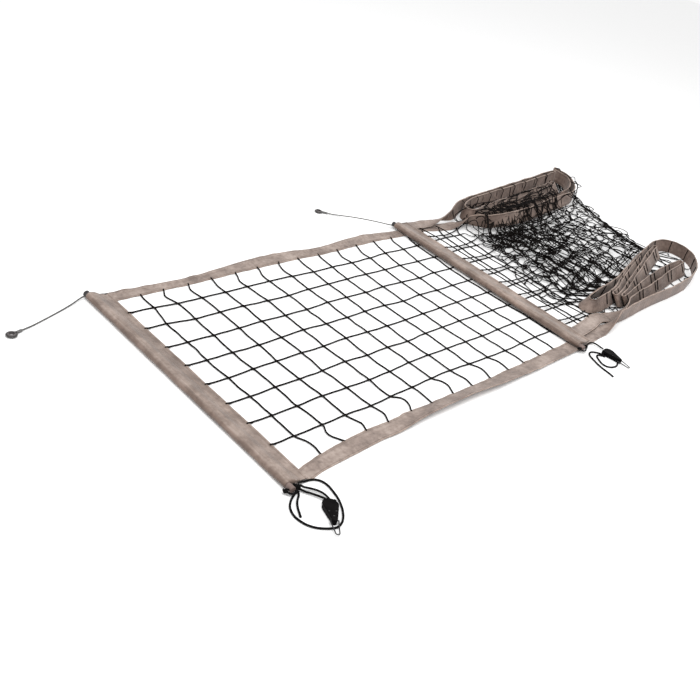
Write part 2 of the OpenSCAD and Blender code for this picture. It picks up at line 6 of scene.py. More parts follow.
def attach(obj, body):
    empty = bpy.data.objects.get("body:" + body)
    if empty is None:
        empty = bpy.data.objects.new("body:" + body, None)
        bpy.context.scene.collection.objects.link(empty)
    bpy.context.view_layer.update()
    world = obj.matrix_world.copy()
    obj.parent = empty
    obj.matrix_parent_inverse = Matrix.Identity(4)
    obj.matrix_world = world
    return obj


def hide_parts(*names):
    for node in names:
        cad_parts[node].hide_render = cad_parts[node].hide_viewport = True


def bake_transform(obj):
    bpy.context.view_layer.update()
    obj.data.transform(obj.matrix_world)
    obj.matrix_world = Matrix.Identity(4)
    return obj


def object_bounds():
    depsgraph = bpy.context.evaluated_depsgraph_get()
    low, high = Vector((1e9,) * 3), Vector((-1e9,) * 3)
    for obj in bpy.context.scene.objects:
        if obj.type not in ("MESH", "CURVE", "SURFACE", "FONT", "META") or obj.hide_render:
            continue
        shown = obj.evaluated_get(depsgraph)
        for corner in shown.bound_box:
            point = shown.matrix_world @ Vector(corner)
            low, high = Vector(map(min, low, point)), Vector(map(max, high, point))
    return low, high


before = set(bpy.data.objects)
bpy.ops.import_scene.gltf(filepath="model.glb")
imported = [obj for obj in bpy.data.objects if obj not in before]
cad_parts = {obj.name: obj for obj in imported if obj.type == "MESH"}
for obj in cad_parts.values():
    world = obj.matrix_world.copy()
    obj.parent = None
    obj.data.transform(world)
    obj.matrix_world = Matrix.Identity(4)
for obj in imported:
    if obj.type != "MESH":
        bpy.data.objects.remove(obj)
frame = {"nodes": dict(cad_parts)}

CAD_LO, CAD_HI = [list(map(float, v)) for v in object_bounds()]
OX, OY = 1394.0, 502.0
LEFT, RIGHT = "left_pole_set", "right_pole_set"
MAIN, END = "main_net", "returned_end"


def G(p):
    """Points in the net's own millimetres to the row frame in metres."""
    a = np.asarray(p, float)
    return (a - np.array([OX, OY, 0.0])) / 1000.0


def rng(seed):
    return np.random.RandomState(seed)


# ---------------------------------------------------------------- camera
F_PX = 883.55
R_CAM = np.array([[0.69146152, -0.68420184, 0.2318379],
                  [-0.23634612, -0.51751473, -0.82238617],
                  [0.68265766, 0.5138544, -0.51954997]])
C_CAM = np.array([-1398.1878, -1129.67938, 1492.01123])
cam_data = bpy.data.cameras.new("photo_camera")
cam_data.sensor_width = 36.0
cam_data.lens = F_PX * 36.0 / 700.0
cam_data.clip_start = 0.05
cam_data.clip_end = 60
cam = bpy.data.objects.new("photo_camera", cam_data)
bpy.context.scene.collection.objects.link(cam)
m = np.eye(4)
m[:3, :3] = R_CAM.T @ np.diag([1.0, -1.0, -1.0])
m[:3, 3] = G(C_CAM)
cam.matrix_world = Matrix(m.tolist())
bpy.context.scene.camera = cam


# ---------------------------------------------------------------- curves and meshes
def unit(v):
    v = np.asarray(v, float)
    n = np.linalg.norm(v, axis=-1, keepdims=True)
    return v / np.where(n < 1e-12, 1, n)


def smooth(p, n=4):
    """The same curve through given points as the CAD's: chord-long pulls along each point's neighbours."""
    p = np.asarray(p, float)
    m_ = len(p)
    d = np.array([unit(p[min(i + 1, m_ - 1)] - p[max(i - 1, 0)]) for i in range(m_)])
    out = []
    for i in range(m_ - 1):
        a, b = p[i], p[i + 1]
        l = np.linalg.norm(b - a)
        for k in range(n):
            t = k / n
            out.append((2 * t**3 - 3 * t * t + 1) * a + (t**3 - 2 * t * t + t) * l * d[i]
                       + (3 * t * t - 2 * t**3) * b + (t**3 - t * t) * l * d[i + 1])
    out.append(p[-1])
    return np.array(out)


def arc(c):
    return np.concatenate([[0], np.cumsum(np.linalg.norm(np.diff(c, axis=0), axis=1))])


def resample(c, step):
    c = np.asarray(c, float)
    s = arc(c)
    n = max(2, int(round(s[-1] / step)) + 1)
    t = np.linspace(0, s[-1], n)
    return np.stack([np.interp(t, s, c[:, k]) for k in range(c.shape[1])], axis=1)


def blur(a, n, passes=2):
    """Moving average along axis 0, ends held."""
    a = np.asarray(a, float)
    for _ in range(passes):
        pad = np.concatenate([np.repeat(a[:1], n, 0), a, np.repeat(a[-1:], n, 0)])
        c = np.cumsum(np.concatenate([np.zeros_like(pad[:1]), pad]), axis=0)
        a = (c[2 * n + 1:] - c[:-2 * n - 1]) / (2 * n + 1)
    return a


def wavy(t, seed, scale, amp):
    """Smooth repeatable noise of t, in the units of scale."""
    r = rng(seed)
    out = np.zeros_like(t, dtype=float)
    for k in range(5):
        f = (0.6 + 0.5 * k) / scale
        out += math.pow(0.75, k) * np.sin(2 * math.pi * f * t * r.uniform(0.85, 1.15) + r.uniform(0, 6.283))
    return amp * out / 2.0


def add_mesh(name, verts, faces, uv=None, smooth_shade=True):
    """verts in the net's millimetres. uv is one (u, v) per loop, in metres."""
    me = bpy.data.meshes.new(name)
    v = G(verts)
    me.from_pydata([tuple(x) for x in v], [], [tuple(int(i) for i in f) for f in faces])
    if uv is not None:
        layer = me.uv_layers.new(name="UVMap")
        layer.data.foreach_set("uv", np.asarray(uv, np.float32).ravel())
    if smooth_shade:
        me.polygons.foreach_set("use_smooth", [True] * len(me.polygons))
    me.update()
    o = bpy.data.objects.new(name, me)
    bpy.context.scene.collection.objects.link(o)
    return o


class Soup:
    """Collects grids, tubes and blobs into one mesh."""

    def __init__(self):
        self.v, self.f, self.uv, self.n = [], [], [], 0

    def grid(self, P, close_u=False, close_v=False, caps=False, U=None, V=None):
        """P is (nu, nv, 3): rows along u, columns round v."""
        nu, nv = P.shape[:2]
        if U is None:
            U = arc(P.mean(axis=1)) / 1000.0
        if V is None:
            mid = P[nu // 2]
            V = np.concatenate([arc(mid), [arc(np.vstack([mid, mid[:1]]))[-1]]]) / 1000.0
        base = self.n
        self.v.append(P.reshape(-1, 3))
        self.n += nu * nv
        iu = np.arange(nu if close_u else nu - 1)
        iv = np.arange(nv if close_v else nv - 1)
        a, b = np.meshgrid(iu, iv, indexing="ij")
        a, b = a.ravel(), b.ravel()
        a1, b1 = (a + 1) % nu, (b + 1) % nv
        self.f.append(np.stack([a * nv + b, a * nv + b1, a1 * nv + b1, a1 * nv + b], 1) + base)
        Ux = np.concatenate([U, [U[-1] + (U[-1] - U[-2])]])
        Vx = V if len(V) > nv else np.concatenate([V, [V[-1]]])
        self.uv.append(np.stack([np.stack([Ux[a], Vx[b]], 1), np.stack([Ux[a], Vx[b + 1]], 1),
                                 np.stack([Ux[a + 1], Vx[b + 1]], 1), np.stack([Ux[a + 1], Vx[b]], 1)], 1).reshape(-1, 2))
        if caps and not close_u:
            for row, flip in ((0, False), (nu - 1, True)):
                c = self.n
                self.v.append(P[row].mean(axis=0)[None])
                self.n += 1
                ring = base + row * nv + np.arange(nv)
                nxt = np.roll(ring, -1)
                tri = np.stack([np.full(nv, c), nxt, ring], 1) if not flip else np.stack([np.full(nv, c), ring, nxt], 1)
                self.f.append(tri)
                self.uv.append(np.full((nv * 3, 2), float(U[row])))

    def tube(self, c, r, sides=6, caps=True, closed=False, squash=None, twist=0.0):
        """Round bar along c, radius r (a number or one per point)."""
        c = np.asarray(c, float)
        n = len(c)
        if closed:
            t = unit(np.roll(c, -1, 0) - np.roll(c, 1, 0))
        else:
            t = np.empty_like(c)
            t[1:-1] = c[2:] - c[:-2]
            t[0], t[-1] = c[1] - c[0], c[-1] - c[-2]
            t = unit(t)
        ref = np.array([0, 0, 1.0]) if abs(t[0][2]) < 0.9 else np.array([1.0, 0, 0])
        N = np.empty_like(c)
        N[0] = unit(np.cross(np.cross(t[0], ref), t[0]))
        for i in range(1, n):
            v = N[i - 1] - t[i] * (N[i - 1] @ t[i])
            l = np.linalg.norm(v)
            N[i] = v / l if l > 1e-6 else N[i - 1]
        B = np.cross(t, N)
        rr = np.broadcast_to(np.asarray(r, float), (n,))
        ang = np.linspace(0, 2 * math.pi, sides, endpoint=False)
        s = arc(c)
        A = ang[None, :] + (twist * s)[:, None]
        P = c[:, None] + rr[:, None, None] * (np.cos(A)[..., None] * N[:, None] + np.sin(A)[..., None] * B[:, None])
        self.grid(P, close_u=closed, close_v=True, caps=caps and not closed, U=s / 1000.0,
                  V=np.linspace(0, 2 * math.pi * float(rr.mean()), sides + 1) / 1000.0)

    def blob(self, at, size, axis=(1, 0, 0), seed=0, rough=0.12, rings=5, sides=7):
        """A knot-like lump: an uneven ellipsoid."""
        r = rng(seed)
        a = unit(axis)
        n = unit(np.cross(a, [0.3, 0.2, 1.0]))
        b = np.cross(a, n)
        th = np.linspace(0, math.pi, rings + 2)[1:-1]
        ph = np.linspace(0, 2 * math.pi, sides, endpoint=False)
        T, H = np.meshgrid(th, ph, indexing="ij")
        k = 1 + rough * r.uniform(-1, 1, T.shape)
        P = (np.asarray(at, float) + (np.cos(T) * k * size[0])[..., None] * a
             + (np.sin(T) * np.cos(H) * k * size[1])[..., None] * n + (np.sin(T) * np.sin(H) * k * size[2])[..., None] * b)
        self.grid(P, close_v=True, caps=True, U=np.linspace(0, size[0] * 2, rings) / 1000.0,
                  V=np.linspace(0, size[1] * 6, sides + 1) / 1000.0)

    def make(self, name, smooth_shade=True):
        v = np.concatenate(self.v)
        faces, uv = [], np.concatenate(self.uv)
        for f in self.f:
            faces.extend(f.tolist())
        o = add_mesh(name, v, faces, uv, smooth_shade)
        bm = bmesh.new()
        bm.from_mesh(o.data)
        bmesh.ops.recalc_face_normals(bm, faces=bm.faces)
        bm.to_mesh(o.data)
        bm.free()
        return o


# ---------------------------------------------------------------- materials
def material(name):
    mt = bpy.data.materials.new(name)
    mt.use_nodes = True
    nt = mt.node_tree
    nt.nodes.clear()
    out = nt.nodes.new("ShaderNodeOutputMaterial")
    bs = nt.nodes.new("ShaderNodeBsdfPrincipled")
    nt.links.new(bs.outputs[0], out.inputs[0])
    return mt, nt, bs


def node(nt, kind, **kw):
    n = nt.nodes.new(kind)
    for k, v in kw.items():
        if k.startswith("in_"):
            n.inputs[int(k[3:])].default_value = v
        else:
            setattr(n, k, v)
    return n


def ramp(nt, stops):
    n = nt.nodes.new("ShaderNodeValToRGB")
    e = n.color_ramp.elements
    while len(e) < len(stops):
        e.new(0.5)
    for el, (pos, col) in zip(e, stops):
        el.position = pos
        el.color = (*col, 1) if len(col) == 3 else col
    return n


def fabric(name, dark, mid, light, thread=0.0009, sheen=0.18, rough=0.62, bump=0.35, rim=False, streak=False):
    """Coated woven fabric: plain weave from the piece's own UVs, broad shade changes, rubbed edges with a painted
    highlight, painted shade in the folds, and faint creases.
    """
    mt, nt, bs = material(name)
    L = nt.links
    uv = node(nt, "ShaderNodeUVMap", uv_map="UVMap")
    tc = node(nt, "ShaderNodeTexCoord")
    sep = node(nt, "ShaderNodeSeparateXYZ")
    L.new(uv.outputs[0], sep.inputs[0])
    waves = []
    for axis in (0, 1):
        mul = node(nt, "ShaderNodeMath", operation="MULTIPLY", in_1=2 * math.pi / (2 * thread))
        L.new(sep.outputs[axis], mul.inputs[0])
        sn = node(nt, "ShaderNodeMath", operation="SINE")
        L.new(mul.outputs[0], sn.inputs[0])
        waves.append(sn)
    weave = node(nt, "ShaderNodeMath", operation="MULTIPLY")
    L.new(waves[0].outputs[0], weave.inputs[0])
    L.new(waves[1].outputs[0], weave.inputs[1])
    big = node(nt, "ShaderNodeTexNoise")
    big.inputs["Scale"].default_value = 14
    big.inputs["Detail"].default_value = 4
    L.new(tc.outputs["Object"], big.inputs["Vector"])
    fine = node(nt, "ShaderNodeTexNoise")
    fine.inputs["Scale"].default_value = 85
    fine.inputs["Detail"].default_value = 6
    L.new(tc.outputs["Object"], fine.inputs["Vector"])
    mixv = node(nt, "ShaderNodeMath", operation="MULTIPLY_ADD", in_1=0.35)
    L.new(fine.outputs[0], mixv.inputs[0])
    m2 = node(nt, "ShaderNodeMath", operation="MULTIPLY", in_1=0.65)
    L.new(big.outputs[0], m2.inputs[0])
    L.new(m2.outputs[0], mixv.inputs[2])
    cr = ramp(nt, [(0.36, dark), (0.5, mid), (0.64, light)])
    L.new(mixv.outputs[0], cr.inputs[0])
    # lighter where the surface is proud, as rubbed wear, and darker in the folds, a painted shade
    geo = node(nt, "ShaderNodeNewGeometry")
    edge = ramp(nt, [(0.44, (0.72, 0.72, 0.72)), (0.5, (1, 1, 1)), (0.56, (1.14, 1.14, 1.14))])
    L.new(geo.outputs["Pointiness"], edge.inputs[0])
    mul = node(nt, "ShaderNodeMix", data_type="RGBA", blend_type="MULTIPLY")
    mul.inputs[0].default_value = 1.0
    L.new(cr.outputs[0], mul.inputs[6])
    L.new(edge.outputs[0], mul.inputs[7])
    # cloth that stands on edge catches less of the light from above
    nz = node(nt, "ShaderNodeSeparateXYZ")
    L.new(geo.outputs["Normal"], nz.inputs[0])
    az = node(nt, "ShaderNodeMath", operation="ABSOLUTE")
    L.new(nz.outputs[2], az.inputs[0])
    stand = ramp(nt, [(0.0, (0.55, 0.485, 0.455)), (0.35, (0.60, 0.54, 0.51)), (0.78, (0.72, 0.67, 0.645)), (0.94, (0.93, 0.915, 0.905)), (1.0, (1, 1, 1))])
    L.new(az.outputs[0], stand.inputs[0])
    shade = [stand]
    if rim:
        # hems lighter, partly rubbed wear and partly a painted highlight where the edges catch the light, with painted
        # shade along the stitch lines; v runs across the tape, 60 mm wide
        vw = node(nt, "ShaderNodeMath", operation="MULTIPLY", in_1=1 / 0.06)
        L.new(sep.outputs[1], vw.inputs[0])
        hem_wear_highlight_and_stitch_shade = ramp(nt, [(0.0, (1.22, 1.19, 1.16)), (0.04, (1.08, 1.07, 1.05)), (0.07, (0.80, 0.79, 0.78)), (0.12, (1, 1, 1)), (0.155, (0.80, 0.79, 0.78)),
                        (0.19, (1, 1, 1)), (0.86, (1, 1, 1)), (0.905, (0.76, 0.75, 0.74)), (0.95, (1.06, 1.05, 1.04)), (1.0, (1.22, 1.19, 1.16))])
        L.new(vw.outputs[0], hem_wear_highlight_and_stitch_shade.inputs[0])
        shade.append(hem_wear_highlight_and_stitch_shade)
    if streak:
        # lengthwise streaks along the pole and paler creases
        mp = node(nt, "ShaderNodeMapping")
        mp.inputs["Scale"].default_value = (3, 34, 1)
        L.new(uv.outputs[0], mp.inputs[0])
        sn_ = node(nt, "ShaderNodeTexNoise")
        sn_.inputs["Scale"].default_value = 1.6
        sn_.inputs["Detail"].default_value = 4
        sn_.inputs["Distortion"].default_value = 0.6
        L.new(mp.outputs[0], sn_.inputs["Vector"])
        st_ = ramp(nt, [(0.34, (0.88, 0.875, 0.87)), (0.5, (1, 1, 1)), (0.64, (1.16, 1.15, 1.14))])
        L.new(sn_.outputs[0], st_.inputs[0])
        shade.append(st_)
    last = mul.outputs[2]
    for sh in shade:
        mm = node(nt, "ShaderNodeMix", data_type="RGBA", blend_type="MULTIPLY")
        mm.inputs[0].default_value = 1.0
        L.new(last, mm.inputs[6])
        L.new(sh.outputs[0], mm.inputs[7])
        last = mm.outputs[2]
    L.new(last, bs.inputs["Base Color"])
    bs.inputs["Roughness"].default_value = rough
    bs.inputs["Sheen Weight"].default_value = sheen
    bs.inputs["Sheen Roughness"].default_value = 0.4
    bs.inputs["Specular IOR Level"].default_value = 0.35
    rr = ramp(nt, [(0.3, (rough - 0.12,) * 3), (0.7, (rough + 0.12,) * 3)])
    L.new(big.outputs[0], rr.inputs[0])
    L.new(rr.outputs[0], bs.inputs["Roughness"])
    b1 = node(nt, "ShaderNodeBump")
    b1.inputs["Strength"].default_value = bump
    b1.inputs["Distance"].default_value = 0.0002
    L.new(weave.outputs[0], b1.inputs["Height"])
    b2 = node(nt, "ShaderNodeBump")
    b2.inputs["Strength"].default_value = 0.5
    b2.inputs["Distance"].default_value = 0.0012
    L.new(fine.outputs[0], b2.inputs["Height"])
    L.new(b1.outputs[0], b2.inputs["Normal"])
    L.new(b2.outputs[0], bs.inputs["Normal"])
    return mt


def twine(name, dark, light, lay=0.004, across=0.0016, rough=0.75, bump=0.8, spec=0.3, metallic=0.0):
    """Braided or twisted cord: slanting strands from the tube's own UVs."""
    mt, nt, bs = material(name)
    L = nt.links
    uv = node(nt, "ShaderNodeUVMap", uv_map="UVMap")
    sep = node(nt, "ShaderNodeSeparateXYZ")
    L.new(uv.outputs[0], sep.inputs[0])
    waves = []
    for sgn in (1, -1):
        a = node(nt, "ShaderNodeMath", operation="MULTIPLY", in_1=2 * math.pi / lay)
        L.new(sep.outputs[0], a.inputs[0])
        b = node(nt, "ShaderNodeMath", operation="MULTIPLY_ADD", in_1=sgn * 2 * math.pi / across)
        L.new(sep.outputs[1], b.inputs[0])
        L.new(a.outputs[0], b.inputs[2])
        sn = node(nt, "ShaderNodeMath", operation="SINE")
        L.new(b.outputs[0], sn.inputs[0])
        waves.append(sn)
    mx = node(nt, "ShaderNodeMath", operation="MAXIMUM")
    L.new(waves[0].outputs[0], mx.inputs[0])
    L.new(waves[1].outputs[0], mx.inputs[1])
    # colour follows the strands' relief: painted shade in the grooves between strands and a painted highlight on their
    # crowns
    cr = ramp(nt, [(0.0, dark), (1.0, light)])
    mr = node(nt, "ShaderNodeMapRange")
    mr.inputs["From Min"].default_value = -1
    L.new(mx.outputs[0], mr.inputs["Value"])
    L.new(mr.outputs[0], cr.inputs[0])
    tc = node(nt, "ShaderNodeTexCoord")
    nz = node(nt, "ShaderNodeTexNoise")
    nz.inputs["Scale"].default_value = 60
    L.new(tc.outputs["Object"], nz.inputs["Vector"])
    dust = ramp(nt, [(0.45, (0.75, 0.75, 0.75)), (0.75, (1.35, 1.3, 1.22))])
    L.new(nz.outputs[0], dust.inputs[0])
    mul = node(nt, "ShaderNodeMix", data_type="RGBA", blend_type="MULTIPLY")
    mul.inputs[0].default_value = 1.0
    L.new(cr.outputs[0], mul.inputs[6])
    L.new(dust.outputs[0], mul.inputs[7])
    L.new(mul.outputs[2], bs.inputs["Base Color"])
    bs.inputs["Roughness"].default_value = rough
    bs.inputs["Specular IOR Level"].default_value = spec
    bs.inputs["Metallic"].default_value = metallic
    bp = node(nt, "ShaderNodeBump")
    bp.inputs["Strength"].default_value = bump
    bp.inputs["Distance"].default_value = 0.0003
    L.new(mx.outputs[0], bp.inputs["Height"])
    L.new(bp.outputs[0], bs.inputs["Normal"])
    return mt


def hard(name, base, alt, rough=0.4, metallic=0.0, scale=300, bump=0.12, spec=0.5, streak=None):
    """Moulded plastic or metal: fine grain, uneven gloss, scuffs."""
    mt, nt, bs = material(name)
    L = nt.links
    tc = node(nt, "ShaderNodeTexCoord")
    mp = node(nt, "ShaderNodeMapping")
    if streak:
        mp.inputs["Scale"].default_value = streak
    L.new(tc.outputs["Object"], mp.inputs[0])
    nz = node(nt, "ShaderNodeTexNoise")
    nz.inputs["Scale"].default_value = scale
    nz.inputs["Detail"].default_value = 5
    L.new(mp.outputs[0], nz.inputs["Vector"])
    nb = node(nt, "ShaderNodeTexNoise")
    nb.inputs["Scale"].default_value = 35
    nb.inputs["Detail"].default_value = 3
    L.new(tc.outputs["Object"], nb.inputs["Vector"])
    cr = ramp(nt, [(0.35, base), (0.7, alt)])
    L.new(nb.outputs[0], cr.inputs[0])
    geo = node(nt, "ShaderNodeNewGeometry")
    edge = ramp(nt, [(0.48, (1, 1, 1)), (0.6, (1.6, 1.6, 1.6))])
    L.new(geo.outputs["Pointiness"], edge.inputs[0])
    mul = node(nt, "ShaderNodeMix", data_type="RGBA", blend_type="MULTIPLY")
    mul.inputs[0].default_value = 1.0
    L.new(cr.outputs[0], mul.inputs[6])
    L.new(edge.outputs[0], mul.inputs[7])
    L.new(mul.outputs[2], bs.inputs["Base Color"])
    bs.inputs["Metallic"].default_value = metallic
    bs.inputs["Specular IOR Level"].default_value = spec
    rr = ramp(nt, [(0.3, (max(0.05, rough - 0.1),) * 3), (0.7, (rough + 0.12,) * 3)])
    L.new(nz.outputs[0], rr.inputs[0])
    L.new(rr.outputs[0], bs.inputs["Roughness"])
    bp = node(nt, "ShaderNodeBump")
    bp.inputs["Strength"].default_value = bump
    bp.inputs["Distance"].default_value = 0.0003
    L.new(nz.outputs[0], bp.inputs["Height"])
    L.new(bp.outputs[0], bs.inputs["Normal"])
    return mt


# the tapes and the sleeves are one taupe cloth: the tapes' paler, greyer colours are painted lighter than the sleeves'
# to stand in for the light and sheen on the flat tape
SLEEVE_D, SLEEVE_M, SLEEVE_L = (0.150, 0.110, 0.090), (0.222, 0.170, 0.143), (0.320, 0.254, 0.220)
M_BAND = fabric("band_fabric", (0.160, 0.121, 0.103), (0.264, 0.206, 0.177), (0.380, 0.310, 0.272), rim=True)
M_SLEEVE = fabric("sleeve_fabric", SLEEVE_D, SLEEVE_M, SLEEVE_L, sheen=0.3, streak=True)
M_TWINE = twine("net_twine", (0.003, 0.0025, 0.0025), (0.010, 0.008, 0.0075), lay=0.006, across=0.0033, spec=0.05, rough=0.85)
M_CORD = twine("cord_black", (0.003, 0.003, 0.0035), (0.009, 0.008, 0.008), lay=0.006, across=0.0031, spec=0.05, rough=0.8)
M_CABLE = twine("cable_steel", (0.030, 0.029, 0.030), (0.125, 0.120, 0.116), lay=0.012, across=0.0019, rough=0.42, bump=0.7, spec=0.4, metallic=0.5)
M_FERRULE = hard("ferrule_alu", (0.07, 0.068, 0.068), (0.16, 0.155, 0.152), 0.42, 0.7)
M_THIMBLE = hard("thimble_steel", (0.055, 0.050, 0.050), (0.11, 0.10, 0.10), 0.45, 0.7)
M_PLUG = hard("plug_plastic", (0.016, 0.015, 0.015), (0.032, 0.030, 0.030), 0.5)
M_CAP = hard("cap_plastic", (0.070, 0.048, 0.041), (0.115, 0.082, 0.072), 0.5)
M_POLE = hard("pole_fibre", (0.075, 0.070, 0.064), (0.15, 0.142, 0.13), 0.38, streak=(40, 1, 40))
M_TENS = hard("tensioner_plastic", (0.0012, 0.0010, 0.0011), (0.004, 0.0035, 0.0035), 0.5, spec=0.04)
M_BAIL = hard("hook_wire", (0.020, 0.019, 0.020), (0.050, 0.048, 0.048), 0.42, 0.6)
M_ROLL = hard("roller_plastic", (0.04, 0.04, 0.04), (0.07, 0.07, 0.07), 0.4)
M_WIRE = hard("wire_steel", (0.045, 0.044, 0.046), (0.10, 0.10, 0.10), 0.34, 0.9)
M_CAM = hard("cam_metal", (0.16, 0.16, 0.16), (0.26, 0.26, 0.26), 0.4, 0.9)
M_STITCH = twine("stitch_thread", (0.15, 0.112, 0.094), (0.27, 0.215, 0.188), lay=0.0012, across=0.0006, rough=0.6)


def paint(obj, mat):
    obj.data.materials.clear()
    obj.data.materials.append(mat)
    return obj


def ease(t, a, b):
    k = np.clip((np.asarray(t, float) - a) / (b - a), 0, 1)
    return k * k * (3 - 2 * k)


# ---------------------------------------------------------------- free cords and cables (first in the making)
left_cable_route = [[-53, 934, 11], [-68, 930, 10], [-110, 914, 5], [-160, 896, 2.2], [-220, 874, 2], [-270, 856, 3], [-304, 846, 4.5]]
right_cable_route = [[1423, 952, 16.5], [1406, 962, 18], [1380, 986, 19], [1346, 1026, 17], [1300, 1078, 12], [1260, 1118, 7], [1240, 1138, 4.5], [1223.5, 1154.5, 4.5]]
left_cord_a = [[-33, -66, 13], [-27, -74, 10], [-14, -84, 7.5], [0, -102, 7], [5, -121, 7.5], [3, -142, 8]]
left_cord_b = [[-39, -71, 7.5], [-33, -83, 5.5], [-23, -98, 6], [-12, -118, 7], [-4, -137, 8]]
left_cord_loop = [[-30, -57, 11], [-18, -54, 7], [-4, -55, 3.6], [14, -58, 3.2], [28, -66, 3.2], [37, -79, 3.2], [40, -98, 3.2],
                  [36, -123, 3.2], [30, -146, 3.2], [20, -168, 3.2], [8, -187, 3.2], [-6, -203, 3.2], [-22, -215, 3.2], [-41, -221, 3.2],
                  [-58, -217, 3.2], [-76, -207, 3.2], [-93, -193, 3.2], [-105, -176, 3.2], [-111, -158, 3.2], [-113, -140, 3.2], [-110, -124, 3.2],
                  [-103, -109, 3.2], [-91, -96, 3.2], [-77, -86, 3.8], [-62, -79, 5.5], [-48, -71, 8.5]]
left_cord_tail = [[-45, -75, 3.6], [-54, -87, 3.4], [-66, -96, 3.2], [-77, -107, 3.2], [-87, -121, 3.2], [-95, -136, 3.2], [-101, -147, 3.2]]
right_cord_in = [[1424, -50, 17], [1436, -44, 15], [1450, -39, 11], [1464, -35, 8], [1480, -33, 7], [1493, -38, 7], [1498, -51, 7.5], [1495, -69, 8], [1494, -84, 8]]
right_cord_tail = [[1462, -108, 5], [1460, -97, 3.6], [1453, -85, 3.2], [1441, -75, 3.2], [1427, -70, 3.2], [1413, -74, 3.2], [1401, -86, 3.2], [1389, -110, 3.2], [1377, -140, 3.2], [1371, -168, 3.2], [1368, -189, 3.2], [1363, -208, 3.2]]
right_cord_loop = [[1459, -117, 5], [1452, -106, 3.6], [1443, -97, 3.2], [1432, -96, 3.2], [1421, -105, 3.2], [1411, -119, 3.2], [1402, -135, 3.2],
                   [1400, -151, 3.2], [1408, -164, 3.2], [1424, -172, 3.2], [1444, -174, 3.2], [1458, -170, 3.2], [1468, -165, 3.2]]
left_eye, left_eye_dir = np.array([-341.5, 836, 4.5]), math.atan2(10, 37.5)
right_eye, right_eye_dir = np.array([1196, 1182, 4.5]), math.radians(-45)
LOOP_R = 14.8
CORD_D = 6.0


def free_cord(name, route, d, body, mat, seed=1, sides=10, replaces=()):
    c = resample(smooth(route, 8), d * 0.8)
    sp = Soup()
    sp.tube(c, d / 2, sides)
    o = sp.make(name)
    paint(o, mat)
    L = arc(c)[-1] / 1000.0
    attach(o, body)
    for r in replaces:
        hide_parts(r)
    return o, L


# eye loops: the cable's turn round the thimble and both parts meeting in the ferrule
def eye_loop(name, at, direction, body):
    a0 = math.radians(28)
    ang = np.linspace(a0, 2 * math.pi - a0, 40)
    ring = np.stack([LOOP_R * np.cos(ang), LOOP_R * np.sin(ang), np.zeros_like(ang)], 1)
    lead = lambda s: smooth([[LOOP_R + 10, s * 1.7, 0], [LOOP_R + 5, s * 2.6, 0], [LOOP_R + 1.5, s * 4.6, 0],
                             [LOOP_R * math.cos(a0), s * LOOP_R * math.sin(a0), 0]], 5)
    c = np.vstack([lead(1)[:-1], ring, lead(-1)[::-1][1:]])
    R = np.array([[math.cos(direction), -math.sin(direction), 0], [math.sin(direction), math.cos(direction), 0], [0, 0, 1]])
    sp = Soup()
    sp.tube(c @ R.T + at, 2.1, 10)
    o = sp.make(name)
    paint(o, M_CABLE)
    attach(o, body)
    return o


def ferrule_piece(name, at, direction, body, nd):
    """Pressed oval sleeve with swaging rings."""
    x = np.array([17, 17.4, 18.4, 20, 21.6, 22.2, 22.8, 24.6, 26.4, 27, 27.6, 29.4, 31.2, 31.8, 32.4, 34, 36, 38, 39.4, 39.8])
    r = np.array([2.6, 3.7, 4.3, 4.4, 4.35, 3.9, 4.35, 4.4, 4.35, 3.9, 4.35, 4.4, 4.35, 3.9, 4.3, 4.2, 3.9, 3.1, 2.5, 2.1])
    th = np.linspace(0, 2 * math.pi, 20, endpoint=False)
    P = np.stack([np.repeat(x[:, None], 20, 1), r[:, None] * np.cos(th) * 1.08, r[:, None] * np.sin(th) * 0.98], 2)
    R = np.array([[math.cos(direction), -math.sin(direction), 0], [math.sin(direction), math.cos(direction), 0], [0, 0, 1]])
    sp = Soup()
    sp.grid(P @ R.T + at, close_v=True, caps=True)
    o = sp.make(name)
    paint(o, M_FERRULE)
    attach(o, body)
    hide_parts(nd)
    return o


N = frame["nodes"]
left_loop = eye_loop("left_eye_loop", left_eye, left_eye_dir, MAIN)
right_loop = eye_loop("right_eye_loop", right_eye, right_eye_dir, END)
left_fer = ferrule_piece("left_ferrule_piece", left_eye, left_eye_dir, MAIN, "left_ferrule")
right_fer = ferrule_piece("right_ferrule_piece", right_eye, right_eye_dir, END, "right_ferrule")
free_cord("left_cable_free", left_cable_route, 4.4, MAIN, M_CABLE,
          11, 10, replaces=("left_cable_end",))
free_cord("right_cable_free", right_cable_route, 4.4, END, M_CABLE,
          12, 10, replaces=("right_cable_end",))


def knot_piece(name, at, size, axis, d, seed, body, nd, mat):
    """A tied knot: cord wound over itself round a small lump."""
    r = rng(seed)
    a = unit(axis)
    n = unit(np.cross(a, [0.2, 0.1, 1.0]))
    b = np.cross(a, n)
    at = np.asarray(at, float)
    sp = Soup()
    t = np.linspace(0, 1, 90)
    turns = 2.6
    x = size[0] * (2 * t - 1) * 0.62
    rad = (size[1] - d / 2) * (0.88 + 0.12 * np.cos(6 * math.pi * t))
    ph = 2 * math.pi * turns * t + r.uniform(0, 6)
    c = at + x[:, None] * a + (rad * np.cos(ph))[:, None] * n + (rad * np.sin(ph))[:, None] * b
    sp.tube(c, d / 2, 8)
    # the crossing turn
    t = np.linspace(0, 1, 40)
    ph = math.pi * t + 0.7
    c = at + (size[0] * 0.7 * np.cos(math.pi * t))[:, None] * a + (size[1] * np.sin(ph))[:, None] * b * 0.95 + (size[1] * 0.9 * np.cos(ph))[:, None] * n
    sp.tube(c, d / 2, 8)
    sp.blob(at, (size[0] * 0.72, size[1] * 0.72, size[1] * 0.72), a, seed, 0.05, 7, 10)
    o = sp.make(name)
    paint(o, mat)
    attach(o, body)
    if nd:
        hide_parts(nd)
    return o


